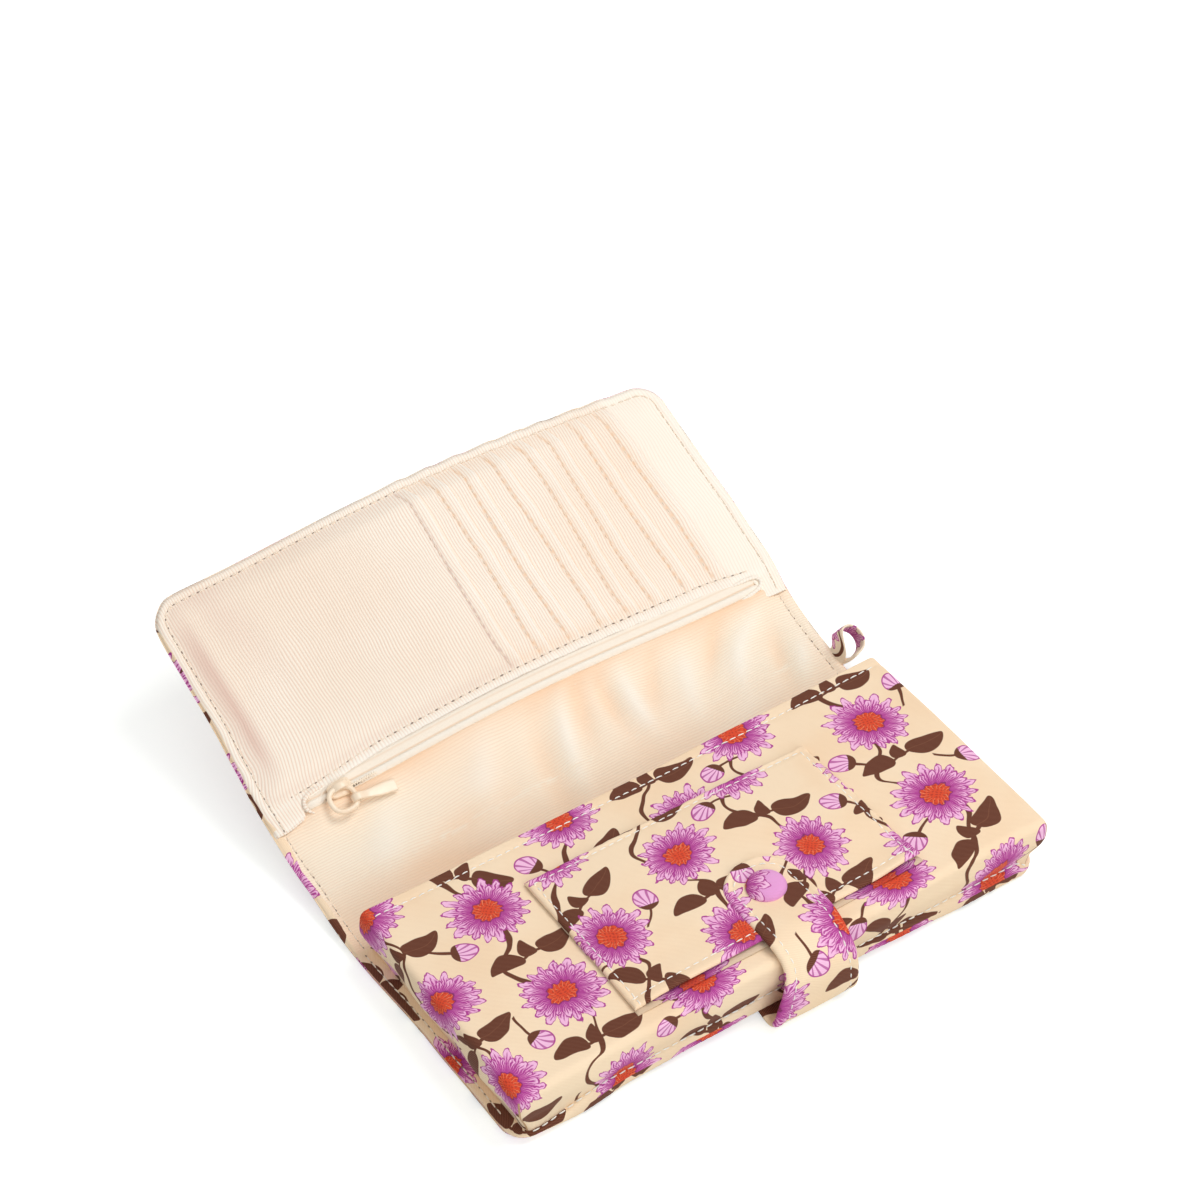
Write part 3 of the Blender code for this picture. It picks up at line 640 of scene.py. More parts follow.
def petal_ring(graph, distance, angle, size, petals, offset, colour):
    """Paints one ring of petals, each with fine veins and a drawn outline."""
    sector = angle * (petals / (2 * math.pi)) + 100.5
    across = (graph.math("FRACT", sector) - 0.5).abs() * 2.0
    length = graph.chance(sector.floor(), offset, 5.0)[0]
    rim = (1.0 - graph.math("POWER", across, 1.7) * 0.34) * (length * 0.16 + 0.90) * size
    width = distance * (math.pi / petals)
    fill = graph.mix(graph.fade(distance, size * 0.30, size * 0.60), PURPLE, LILAC)
    fill = graph.mix(graph.fade(distance, size * 0.50, size * 0.9) * 0.9, fill, PALE_LILAC)
    veins = None
    for spot, until in ((0.0, 0.86), (0.5, 0.78)):
        vein = ((across - spot).abs() * width).under(0.20, 0.08)
        vein = vein * distance.under(size * until, 0.8)
        veins = vein if veins is None else veins.max(vein)
    parting = ((1.0 - across) * width).under(0.30, 0.1)
    outline = (rim - distance).under(0.60, 0.1)
    fill = graph.mix(veins.max(parting).max(outline), fill, PURPLE)
    return graph.mix(distance.under(rim, 0.12), colour, fill)


def daisy(graph, x, y, first, third, size, petals, colour):
    """Paints a full daisy with two rings of petals over the colour."""
    x, y = turned(graph, x, y, third * TURN)
    y = y * (1.0 + first * 0.24)
    distance = graph.math("SQRT", x * x + y * y)
    angle = graph.math("ARCTAN2", y, x)
    colour = petal_ring(graph, distance, angle, size, petals, 0.5, colour)
    inner_x, inner_y = turned(graph, x, y, math.pi / petals)
    inner_angle = graph.math("ARCTAN2", inner_y, inner_x)
    colour = petal_ring(graph, distance, inner_angle, size * 0.80, petals, 2.5, colour)
    eye = (1.0 + (angle * 11.0).sine() * 0.08) * (size * 0.32)
    colour = graph.mix(distance.under(eye + 0.4, 0.15), colour, DEEP_PURPLE)
    strokes = (angle * 17.0 + distance * 0.9).sine()
    seeds = (x * 4.2).sine() * (y * 4.2).sine()
    heart = graph.mix(graph.fade(seeds, 0.0, 0.6) * 0.75, ORANGE, BRICK)
    pale = graph.fade(strokes, 0.8, 0.98) * graph.fade(distance, size * 0.12, size * 0.2)
    heart = graph.mix(pale * 0.6, heart, rgb(246, 164, 120))
    return graph.mix(distance.under(eye, 0.15), colour, heart)


def vine(graph, u, v, period, width, colour):
    """Paints winding stems that run up the cloth, one to each column."""
    column = (u / period).floor()
    first, second, third = graph.chance(column, 0.0, 11.0)
    bend = (v * (2 * math.pi / 47.0) + first * TURN).sine() * 5.5
    bend = bend + (v * (2 * math.pi / 15.5) + second * TURN).sine() * 1.1
    off = (u - (column + 0.5) * period - bend).abs()
    thick = (v * 0.42 + third * TURN).sine() * 0.25 + width
    return graph.mix(off.under(thick, 0.12), colour, BROWN)


def leaf(graph, x, y, length, width):
    """A share that is 1 inside a leaf which points along x, with its own curve."""
    along = x / length
    body = along * (1.0 - along)
    bend = y + body * (width * 0.9)
    edge = graph.math("SQRT", body.max(0.0)) * width
    edge = edge * (1.25 - along * 0.7)
    inside = bend.abs().under(edge, 0.13)
    return inside * along.under(1.0, 0.004) * (0.0 - along).under(0.0, 0.004)


def sprig(graph, x, y, third, colour):
    """Paints two leaves on a short bent stem."""
    x, y = turned(graph, x, y, (third - 0.5) * 1.5)
    stem = (y + x * x * 0.03).abs().under(0.48, 0.12) * x.abs().under(6.0, 0.3)
    right = leaf(graph, x - 2.0, y - 0.6, 12.5, 7.4)
    left = leaf(graph, -x - 3.2, -y - 0.2, 10.8, 6.2)
    small = leaf(graph, y + 1.0, x * 1.0, 6.5, 4.6)
    shape = stem.max(right).max(left.max(small))
    rib_right = (y - 0.6 + (x - 2.0) * (1.0 - (x - 2.0) / 12.5) * 0.53).abs().under(0.13, 0.07)
    brown = graph.mix(rib_right * right * 0.4, BROWN, BROWN_LIGHT)
    return graph.mix(shape, colour, brown)


def bud(graph, x, y, third, colour):
    """Paints a small closed bud on a stalk."""
    x, y = turned(graph, x, y, third * TURN)
    stalk = (x + y * y * 0.04).abs().under(0.5, 0.12) * (y + 5.4).abs().under(4.4, 0.2)
    colour = graph.mix(stalk, colour, BROWN)
    away = graph.math("SQRT", x * x * 1.25 + y * y)
    colour = graph.mix(away.under(3.9, 0.1), colour, PURPLE)
    colour = graph.mix(away.under(3.45, 0.1), colour, PALE_LILAC)
    rays = (graph.math("ARCTAN2", y + 3.4, x) * 16.0).sine()
    colour = graph.mix(away.under(3.5, 0.1) * graph.fade(rays, 0.2, 0.8) * 0.8, colour, PURPLE)
    cup = away.under(3.95, 0.1) * (y + 1.7).under(0.0, 0.1)
    return graph.mix(cup, colour, BROWN)


def printed_cloth(name, shift=(0.0, 0.0), shade_dim=1.0, ground=GROUND, ground_shade=GROUND_SHADE):
    """Cream cotton twill with scattered daisies, leaf pairs and buds."""
    graph = Graph(name, 0.7, sheen=0.04, specular=0.14)
    u, v = graph.cloth()
    place = graph.place()
    bent_u = u + shift[0] + (graph.noise(graph.vector(u, v), 0.10, 1.0) - 0.5) * 3.0
    bent_v = v + shift[1] + (graph.noise(graph.vector(v, u), 0.11, 1.0) - 0.5) * 3.0
    drawn_u = bent_u + (graph.noise(graph.vector(u, v), 0.6, 1.0) - 0.5) * 1.3
    drawn_v = bent_v + (graph.noise(graph.vector(v, u), 0.6, 1.0) - 0.5) * 1.3
    cloud = graph.noise(place, 38.0, 3.0)
    colour = graph.mix(graph.fade(cloud, 0.35, 0.72) * 0.6, ground, ground_shade)
    colour = vine(graph, bent_u + 4.0, bent_v, COLUMN_W, 0.72, colour)
    x, y, _, third = cell(graph, bent_u, bent_v, 0.0, ROW_H / 2, 3.0, 4.0)
    colour = sprig(graph, x, y, third, colour)
    x, y, _, third = cell(graph, bent_u, bent_v, COLUMN_W / 2, ROW_H / 4, 7.0, 2.0)
    colour = bud(graph, x, y, third, colour)
    x, y, first, third = cell(graph, drawn_u, drawn_v, 0.0, 0.0, 1.0, 4.5)
    colour = daisy(graph, x, y, first, third, BLOOM_R, 17.0, colour)
    thread = (u * 0.62 + v).threads(0.55)
    slub = graph.noise(graph.vector(u * 1.0, v * 6.0), 0.8, 2.0)
    colour = graph.mix(thread * 0.15, colour, rgb(206, 152, 124))
    colour = graph.mix(graph.fade(slub, 0.55, 0.8) * 0.05, colour, rgb(120, 80, 70))
    # painted shade: the print darkened where the cloth lies in a shaded gap
    if shade_dim < 1.0:
        colour = graph.mix(1.0 - shade_dim, colour, rgb(40, 14, 44))
    graph.paint(colour)
    graph.bump(thread + slub * 0.6, 0.035)
    return graph.material


# colours of painted shade, mixed in where a mesh's painted shading is over 0
PAINTED_WARM_SHADE = rgb(240, 192, 152)
PAINTED_MAUVE_SHADE = rgb(222, 186, 170)


def ribbed_cloth(name, along, pitch, light, shade, depth=0.11, line=0.62, painted_shade_colour=PAINTED_WARM_SHADE):
    """Cream faille. Its fine ribs run along x or along q."""
    graph = Graph(name, 0.62, sheen=0.18, specular=0.32)
    u, v = graph.cloth()
    across = v if along == "x" else u
    drift = (graph.noise(graph.vector(u, v), 0.035, 2.0) - 0.5) * 5.0
    if along == "q":  # the panel's ribs bend towards its near left corner
        drift = drift + graph.fade(v, 150.0, 134.0) * graph.fade(u, -30.0, -88.0) * 3.5
    rib = (across + drift).threads(pitch)
    picks = (v if along == "q" else u).threads(0.45)
    cloud = graph.noise(graph.place(), 18.0, 2.0)
    colour = graph.mix(graph.fade(cloud, 0.35, 0.7) * 0.6, light, shade)
    colour = graph.mix(graph.fade(rib, 0.6, 0.0) * line, colour, rgb(232, 192, 166))
    # painted shade and painted highlight from the mesh's painted shading
    colour = graph.with_painted_shading(colour, painted_shade_colour)
    colour = graph.mix(picks * 0.08, colour, rgb(255, 250, 240))
    graph.paint(colour)
    graph.bump(rib + picks * 0.12, depth)
    return graph.material


def woven_tape(name):
    """The zip's smooth tape, a fine herringbone."""
    graph = Graph(name, 0.6, sheen=0.1, specular=0.3)
    u, v = graph.cloth()
    fold = ((graph.math("FRACT", u * (1 / 2.6)) - 0.5).abs()) * 2.6
    thread = (fold + v).threads(0.5)
    cloud = graph.noise(graph.place(), 40.0, 3.0)
    colour = graph.mix(cloud * 0.5, rgb(253, 243, 228), rgb(249, 235, 217))
    # painted shade and painted highlight from the mesh's painted shading
    colour = graph.with_painted_shading(colour, rgb(232, 196, 160))
    colour = graph.mix(thread * 0.15, colour, rgb(242, 214, 182))
    graph.paint(colour)
    graph.bump(thread, 0.04)
    return graph.material


def moulded(name, light, shade, roughness, coat):
    """Cream nylon or enamel with slight colour drift, scuffs and a soft gloss."""
    graph = Graph(name, roughness, specular=0.5)
    graph.shader.inputs["Coat Weight"].default_value = coat
    graph.shader.inputs["Coat Roughness"].default_value = 0.2
    place = graph.place()
    cloud = graph.noise(place, 120.0, 3.0)
    scuff = graph.noise(place, 900.0, 2.0)
    colour = graph.mix(graph.fade(cloud, 0.3, 0.7), light, shade)
    graph.paint(colour)
    rough = graph.fade(scuff, 0.4, 0.75) * 0.12 + roughness
    graph.put(graph.shader.inputs["Roughness"], rough)
    graph.bump(scuff, 0.02)
    return graph.material


def thread_material(name, light, shade):
    """Twisted sewing thread."""
    graph = Graph(name, 0.55, sheen=0.1, specular=0.3)
    u, v = graph.cloth()
    ply = (u * 1.0 + v * 1.4).threads(0.42)
    graph.paint(graph.mix(ply * 0.6, light, shade))
    graph.bump(ply, 0.04)
    return graph.material


def brushed_metal(name):
    """Nickel with a turned finish."""
    graph = Graph(name, 0.3, specular=0.5, metallic=1.0)
    place = graph.place()
    streak = graph.noise(place, 700.0, 3.0)
    graph.paint(graph.mix(graph.fade(streak, 0.3, 0.7), rgb(212, 208, 200), rgb(190, 186, 178)))
    graph.put(graph.shader.inputs["Roughness"], streak * 0.15 + 0.24)
    graph.bump(streak, 0.01)
    return graph.material


PRINT = printed_cloth("print")
PRINT_TOP = printed_cloth("print_top", (9.0, 4.0))
PRINT_PATCH = printed_cloth("print_patch", (21.0, 17.0))
PRINT_TAB = printed_cloth("print_tab", (2.0, 20.0))
PRINT_CAP = printed_cloth("print_cap", (24.0, 11.5), 1.0, rgb(236, 168, 224), rgb(226, 150, 212))
# painted light: a paler ground that brightens the loop
PRINT_LOOP_LIT = printed_cloth("print_loop_lit", (9.0, -0.5), 1.0, rgb(255, 242, 220), GROUND)
PRINT_INNER_SHADED = printed_cloth("print_inner_shaded", (12.0, 3.0), 0.72)
CREAM = rgb(253, 243, 228)
PEACH = rgb(249, 231, 210)
BAND = rgb(255, 241, 218)
BAND_SHADE = rgb(255, 230, 204)
# a cloth's colour given after its depth and line is its painted shade colour
PANEL_CLOTH = ribbed_cloth("panel_cloth", "q", 0.93, CREAM, PEACH, 0.07, 0.56, PAINTED_MAUVE_SHADE)
BACKING_CLOTH = ribbed_cloth(
    "backing_cloth", "q", 0.93, rgb(254, 246, 232), rgb(252, 240, 223), 0.03, 0.22, PAINTED_MAUVE_SHADE
)
SLOT_CLOTH = ribbed_cloth("slot_cloth", "q", 0.93, CREAM, PEACH, 0.07, 0.56, rgb(248, 200, 156))
BAND_CLOTH = ribbed_cloth("band_cloth", "x", 0.9, BAND, BAND_SHADE, 0.05, 0.30, rgb(252, 208, 168))
INNER_CLOTH = ribbed_cloth("inner_cloth", "x", 0.6, rgb(248, 228, 200), BAND_SHADE, 0.05)
TAPE_CLOTH = woven_tape("tape_cloth")
NYLON = moulded("nylon", rgb(253, 240, 220), rgb(250, 232, 208), 0.42, 0.1)
ENAMEL = moulded("enamel", rgb(252, 233, 208), rgb(249, 224, 194), 0.32, 0.25)
WHITE_THREAD = thread_material("white_thread", rgb(255, 253, 246), rgb(252, 244, 234))
CREAM_THREAD = thread_material("cream_thread", rgb(253, 240, 222), rgb(240, 216, 192))
PEACH_THREAD = thread_material("peach_thread", rgb(254, 236, 216), rgb(250, 224, 200))
# a thread coloured dark as painted shade of a crease
SEAM_CREASE_SHADE = thread_material("seam_crease_shade", rgb(206, 168, 126), rgb(168, 126, 90))
# dark discs of painted shade in the needle holes; the second is paler
HOLE_SHADE = thread_material("needle_hole_shade", rgb(158, 138, 124), rgb(126, 108, 98))
SOFT_HOLE_SHADE = thread_material("soft_hole_shade", rgb(232, 204, 180), rgb(222, 190, 164))
METAL = brushed_metal("metal")


# Placing

def blend_over(obj, joint):
    """Bakes a piece's placing into its mesh; the fold's tilt is worked out but not used."""
    at = FOLD_1_Q if joint == "spine_fold" else FOLD_2_Q
    tilt = float(tilt_at(at))
    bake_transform(obj)


def folded_lower(obj):
    blend_over(obj, "spine_fold")


def folded_upper(obj):
    blend_over(obj, "flap_fold")


def attach(obj, rider):
    """The piece rides on a body, which is named, or is handed to a function."""
    if callable(rider):
        rider(obj)
    else:
        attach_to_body(obj, rider)


def settle(obj, rider, *nodes):
    """Attaches a piece that stands in for these nodes."""
    attach(obj, rider)
    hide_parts(*nodes)
    return obj


def laid(name, x, q, top, under, material, painted_shading=0.0):
    """Cloth between two heights over the lining."""
    cloth = Cloth().solid(spread(x, q, top), spread(x, q, under), uv_of(x, q), painted_shading=painted_shading)
    return cloth.build(name, material)


def stitches(name, places, ups, material, rider, radius=STITCH_R, length=STITCH_L, holes=None,
             sink=0.35, hole_shade=HOLE_SHADE):
    """A row of stitches along a line on the cloth, each a bowed thread, and its needle holes as dark discs of
    painted shade.
    """
    path, tangent, at = along_path(places, 0.2)
    ups = np.broadcast_to(ups, np.shape(places))
    up_at = between(np.linspace(0, 1, len(path)), np.linspace(0, 1, len(ups)), ups)
    count = max(1, int(at[-1] / PITCH))
    cloth, dots = Cloth(), Cloth()
    turn = np.linspace(0, 2 * np.pi, 7)
    shares = np.linspace(-1, 1, 7)
    bow = np.sqrt(np.maximum(1 - shares**2, 0))
    thick = radius * (0.45 + 0.55 * bow)
    rng = np.random.default_rng(count)
    for i in range(count):
        middle = (i + 0.5) * at[-1] / count
        half = length / 2 * (1 + rng.uniform(-UNEVEN, UNEVEN))
        spots = np.clip(middle + shares * half, 0, at[-1])
        here, along = between(spots, at, path), between(spots, at, tangent)
        up = unit(between(spots, at, up_at))
        side = unit(np.cross(along, up))
        skew = rng.uniform(-UNEVEN, UNEVEN)
        centre = here + up * (radius * (bow * 1.1 - sink))[:, None] + side * (shares * skew)[:, None]
        ring = tube(centre, side, up, thick[:, None, None] * 1.15, thick[:, None, None])
        cloth.grid(ring, uv_of(spots[:, None], (turn * radius)[None]))
        if holes is not None:
            spot = here[0] - along[0] * holes * 1.1 + up[0] * 0.07
            wide = holes * (0.8 + 0.4 * rng.random())
            rim = np.cos(turn)[:, None] * side[0] * 0.8 + np.sin(turn)[:, None] * along[0] * 1.9
            disc = np.broadcast_arrays(spot + up[0] * 0.03, spot + wide * rim, spot - up[0] * 0.15)
            dots.grid(np.stack(disc), np.zeros((3, 7, 2)))
    attach(cloth.build(name, material, angle=80, weld=0.0005), rider)
    if holes is not None:
        attach(dots.build(name + "_holes", hole_shade, angle=80, weld=0.0005), rider)


# Shell: cover and lining

def stack_at(q):
    return BASE_STACK + (FLAP_STACK - BASE_STACK) * ramp(108, 124, q)


def roll(e, reach=EDGE_ROLL):
    """0 at the shell's edge, rising like a quarter round to 1 inside it."""
    return np.sqrt(1 - (1 - np.clip(e, 0, reach) / reach) ** 2)


def rolled(level, x, q, inset=LINING_INSET, reach=EDGE_ROLL):
    """A height that rolls to where cover and lining meet at the shell's rim."""
    meet = -MEET * stack_at(q)
    return meet + (level - meet) * roll(edge_distance(x, q) - inset, reach)


def in_step(along):
    """Small waves, one to each stitch."""
    return np.sin(along * 2 * np.pi / PITCH)


def pinch(x, q):
    """The row of stitches round the shell pulls the cloth down, with small puckers."""
    e = edge_distance(x, q) - EDGE_STITCH
    return 0.32 * bell(e / 0.75) + 0.07 * in_step(x + q) * bell(e / 1.6)


def crease(x, q, cx, cq, angle, length, width, height):
    """One soft fold in the cloth."""
    c, s = math.cos(math.radians(angle)), math.sin(math.radians(angle))
    along = (x - cx) * c + (q - cq) * s
    across = -(x - cx) * s + (q - cq) * c + 0.004 * along**2
    return height * bell(along / length) * bell(across / width)


BAND_FOLDS = (
    (-62, 112, 62, 16, 5.5, 0.9), (-40, 104, 12, 24, 5.0, -0.7), (-26, 116, 60, 15, 4.6, 0.8),
    (-9, 108, 76, 17, 3.6, -1.0), (1, 112, 72, 18, 3.0, 1.35), (10, 118, 72, 11, 2.8, -1.2),
    (19, 117, 84, 10, 2.2, -1.3), (26, 115, 86, 13, 3.0, 1.5), (35, 118, 62, 12, 2.6, -1.1),
    (44, 112, 70, 14, 3.4, 1.1), (57, 119, 52, 10, 2.4, -1.2), (63, 113, 60, 12, 3.0, 1.2),
    (72, 121, 40, 8, 2.6, 0.9), (74, 108, 70, 10, 2.6, -1.2), (80, 104, 60, 9, 2.4, 0.9),
    (-50, 95, -20, 18, 5.0, -0.6), (52, 94, 20, 18, 5.0, 0.8),
)


def band_waves(x, q):
    inside = ramp(2.5, 9, edge_distance(x, q)) * ramp(70, 84, q) * ramp(130.5, 125.0, q)
    total = sum(crease(x, q, *fold) for fold in BAND_FOLDS)
    total = total + 0.12 * np.sin(x * 0.21 + q * 0.13) * np.sin(x * 0.07 - q * 0.19)
    return total * inside


def band_painted_shading(x, q):
    """Painted shade on the lining under the zip's folded edge and behind the pocket, with painted highlight
    on its folds' ridges and painted shade in their hollows.
    """
    under_zip = (0.8 + 0.25 * np.sin(x * 0.11 + 0.6)) * np.exp(-np.clip(BAND_Q - q, 0, 60) / 4.2)
    low = 0.34 * ramp(110, 90, q) + 0.14 * ramp(104, 84, q) * ramp(30, -60, x)
    return np.clip(under_zip + low - 0.40 * band_waves(x, q), -0.7, 0.9)


def zip_welt(q):
    """The lining rises to its folded edge beside the zip."""
    return 1.25 * ramp(121.5, 128.4, q) - 0.3 * ramp(128.7, BAND_Q, q)


def lining_n(x, q):
    level = band_waves(x, q) + zip_welt(q) * ramp(-79, -74.5, x) * ramp(84, 80.5, x)
    return rolled(level, x, q) - pinch(x, q)


def cover_n(x, q):
    return rolled(-stack_at(q), x, q, 0, COVER_ROLL)


def shell_grid(rows, step=3.0):
    """x and q over the shell's outline, finer near its edges."""
    rows = np.asarray(rows, float)[:, None]
    width = half_width(rows)
    fine = np.array(FINE)[None]
    inner = width - fine[0, -1]
    count = int(2 * HALF / step)
    shares = np.linspace(-1, 1, count)[None, 1:-1]
    x = np.concatenate([-width + fine, inner * shares, (width - fine)[:, ::-1]], 1)
    return x, np.broadcast_to(rows, x.shape)


LOWER_ROWS = graded(0, SPLIT_Q, 2.0, FINE)
UPPER_ROWS = graded(SPLIT_Q, FAR_Q, 2.0, (), FINE)
BAND_ROWS = graded(SPLIT_Q, BAND_Q, 1.2, (), (0.0, 0.1, 0.3, 0.6, 1.0, 1.6))

for part, rows, replaced, rider in (
    ("cover_lower", LOWER_ROWS, ("cover_base", "padding_base", "cover_spine"), folded_lower),
    ("cover_upper", UPPER_ROWS, ("padding_spine", "cover_flap", "padding_flap"), folded_upper),
):
    x, q = shell_grid(rows)
    outer = cover_n(x, q)
    inner = outer + 0.10 + 0.40 * roll(edge_distance(x, q), COVER_ROLL)
    made = settle(laid(part, x, q, inner, outer, PRINT), rider, *replaced)

for part, rows, replaced, rider in (
    ("lining_lower", LOWER_ROWS, ("lining_base", "lining_spine"), folded_lower),
    ("lining_upper", BAND_ROWS, ("lining_flap", "zip_pocket_lining"), folded_upper),
):
    x, q = shell_grid(rows, 2.0)
    top = lining_n(x, q)
    under = top - 0.08 - 0.4 * roll(edge_distance(x, q))
    made = settle(laid(part, x, q, top, under, BAND_CLOTH, band_painted_shading(x, q)), rider, *replaced)
    under = "cover_lower" if part == "lining_lower" else "cover_upper"


def inner_height(x, q):
    """The height of what lies innermost at the left edge: the lining, or the card panel beyond the zip."""
    return np.where(q < ZIP_EDGE_Q, lining_n(x, q), panel_n(len(SLOT_EDGES), x, q))


def edge_strip(name, start, stop, rider):
    """The cover's cloth, which shows past the lining along the left edge."""
    rows = np.arange(start, stop + 0.01, 1.0)[:, None]
    wide = np.interp(rows, (74, 84, 92, 100, 108, 114, 119, 124, 128, 133, 145, 160, 176, 190, 197, 201),
                     (0.3, 1.3, 2.0, 2.3, 1.9, 1.6, 2.7, 3.0, 1.9, 0.8, 0.7, 0.9, 0.6, 1.1, 0.9, 0.1))
    inward = wide * np.linspace(0, 1, 9)[None]
    x = inward - half_width(rows)
    q = np.broadcast_to(rows, x.shape)
    over = 0.12 * np.sqrt(np.clip(1 - (inward / wide) ** 4, 0, 1)) + 0.02
    top = inner_height(x, q) + over
    cloth = Cloth().solid(spread(x, q, top), spread(x, q, top - over - 0.1), uv_of(x - 2 * inward, q))
    attach(cloth.build(name, PRINT), rider)


# Card panel

def zip_shift(x):
    """How far the panel's lower edge and its stitches stray from a straight line."""
    return -3.3 * ramp(-46, -84, x) + 0.4 * ramp(-40, 40, x) - 2.4 * ramp(62, 86, x)


def window_drop(x):
    """At both ends of the zip's window the panel's cloth runs on down to the lining."""
    left = (4.4 + 1.5 * ramp(-76, -86, x)) * ramp(WINDOW_LEFT + 0.7, WINDOW_LEFT - 2.4, x)
    return -left - 7.2 * ramp(WINDOW_RIGHT - 1.7, WINDOW_RIGHT + 0.9, x)


def pulled(x, q):
    """Cloth coordinates whose lower rows follow the panel's lower edge."""
    low = ramp(PANEL_Q + 26, PANEL_Q, q)
    return q + zip_shift(x) * low + window_drop(x) * ramp(PANEL_Q + 5.5, PANEL_Q, q)


def inside_stitches(x, q):
    """Distance inside the nearest row of stitches round the panel. Negative beyond it."""
    return np.minimum(edge_distance(x, q) - EDGE_STITCH, q - ZIP_STITCH_Q - zip_shift(x))


def panel_n(count, x, q):
    """Height of the layer that lies over this many card slots. Stitches press the pile flat."""
    inside = inside_stitches(x, q)
    held = 0.30 + 0.70 * smooth(inside / 6.5)
    pile = BACKING_N - 0.75 + 0 * x
    for edge in SLOT_EDGES[:count]:
        bottom = edge - SLOT_DEPTH
        pile = pile + SLOT_RISE * ramp(bottom - 2.0, bottom + 5.0, x)
    puff = 0.25 * smooth(inside / 16)
    waves = (0.16 * np.sin(x * 0.085 + q * 0.06) + 0.10 * np.sin(q * 0.16 - x * 0.05)) * smooth(inside / 9)
    groove = 0.24 * bell(inside / 0.75)
    pucker = 0.07 * in_step(x + q) * bell(inside / 1.6)
    return rolled(0.75 + pile * held + puff + waves, x, q) - groove - pucker


def panel_painted_shading(x, q):
    """Painted shade in a long dip inside the panel's left edge, fainter further in and beside its stitches,
    and a painted highlight at its folded rim.
    """
    from_left = x + HALF - EDGE_STITCH - 1.2 * ramp(185, 150, q)
    dip = 0.85 * bell((from_left - 4.1) / 2.3) * ramp(137, 157, q) * ramp(208, 182, q)
    second = 0.22 * bell((from_left - 22.0 + 0.25 * (q - 170)) / 6.0) * ramp(160, 195, q)
    inside = inside_stitches(x, q)
    low = 0.16 * bell((inside - 1.6) / 1.3) * ramp(60, 40, x)
    return dip + second + low - 0.25 * bell((inside + 1.6) / 0.9)


def slot_edge(index, q):
    """A slot's right edge, which wanders a little."""
    held = ramp(136, 150, q) * ramp(210, 196, q)
    bend = -2.3 * ramp(198.5, 206.5, q) + 0.8 * ramp(146, 138, q)
    return SLOT_EDGES[index] + held * (0.7 * np.sin((q - 136) * 0.062 + SLOT_PHASES[index]) - 0.25) + bend


def beside(beyond, shade):
    """The shade that a slot's edge throws on the cloth beyond it."""
    return shade * np.exp(-np.clip(beyond, 0, 9) / 0.5) * (beyond > -0.2)


def slot_layer(index):
    """One card slot's cloth. The last one runs under no other and reaches the panel's left edge."""
    last = index == LAST_SLOT
    start = PANEL_Q - 0.55 + 0.11 * index
    rows = graded(start, FAR_Q, 0.72, LOW_STEPS, FINE)[:, None]
    width = half_width(rows)
    if last:
        left = -width
        dip = (10.5, 11.8, 12.4, 12.8, 13.2, 13.6, 14.0, 14.4, 15.0)
        steps = np.concatenate([FINE, dip, np.linspace(17, 84, 34)])
    else:
        left = slot_edge(index + 1, rows) - SLOT_LAP
        steps = np.linspace(0, 8, 6)
    edge = np.minimum(slot_edge(index, rows), width)
    hem = np.array((0.0, 0.1, 0.3, 0.8, 1.8, 3.0, 3.6, 3.9, 4.2, 4.6, 5.2, 6.5))
    span = edge - left
    scaled = np.minimum(steps[None], span) if last else steps[None] * (span - hem[-1] - 1.0) / steps[-1]
    columns = [left + scaled, (edge - hem[None])[:, ::-1]]
    if not last:
        next_edge = slot_edge(index + 1, rows)
        columns.append(next_edge + NEXT_STEPS)
    x = np.sort(np.concatenate(columns, 1), 1)
    flat_q = np.broadcast_to(rows, x.shape)
    q = pulled(x, flat_q)
    inward = edge - x
    rise = HEM_RISE * (1 - ramp(3.5, 4.3, inward)) * np.sqrt(np.clip(inward / 0.35, 0, 1))
    calm = ramp(-1.0, 3.0, inside_stitches(x, q))
    rise = rise * (0.35 + 0.65 * calm)
    seam = bell((inward - HEM_W) / 0.5) * calm
    dashes = 0.5 + 0.5 * np.sin(q * 2 * np.pi / 2.9 + index)
    mark = 0.03 * seam * (0.4 + 0.6 * dashes)
    top = panel_n(index + 1, x, q) + rise - mark - 0.10 * (1 - np.sqrt(np.clip(inward / 0.5, 0, 1)))
    low_edge = np.clip((flat_q - start) / 0.6, 0, 1)
    top = top - 0.2 * (1 - np.sqrt(low_edge))
    under = np.minimum(panel_n(index, x, q) + 0.02, top - 0.03)
    # painted shade in the seam's stitch dashes, a painted highlight on the folded edge and along the layer's
    # low edge, and painted shade beside the next slot's edge
    painted_shading = panel_painted_shading(x, q) + (0.22 + 0.55 * dashes) * seam
    painted_shading = painted_shading - 0.5 * bell((inward - 0.5) / 0.45) * (0.3 + 0.7 * calm)
    painted_shading = painted_shading - 0.6 * np.exp(-(flat_q - start) / 0.7)
    if last:
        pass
    else:
        painted_shading = painted_shading + beside(x - next_edge, 0.25) * (0.3 + 0.7 * calm)
    painted_shading = np.clip(painted_shading, -0.9, 0.9)
    made = laid(f"slot_{index + 1}", x, q, top, under, PANEL_CLOTH if last else SLOT_CLOTH, painted_shading)
    settle(made, "flap", f"card_slot_{index + 1}")


for index in range(len(SLOT_EDGES)):
    slot_layer(index)

rows = graded(PANEL_Q - 0.3, FAR_Q, 1.6, LOW_STEPS, FINE)[:, None]
width = half_width(rows)
first_edge = slot_edge(0, rows)
left = first_edge - SLOT_LAP
x = np.sort(np.concatenate([
    left + (width - 9.0 - left) * np.linspace(0, 1, 8)[None, :-1], (width - np.array(FINE)[None])[:, ::-1],
    first_edge + NEXT_STEPS, np.minimum(np.linspace(77, 84.5, 18)[None], width),
], 1), 1)
q = pulled(x, np.broadcast_to(rows, x.shape))
top = panel_n(0, x, q)
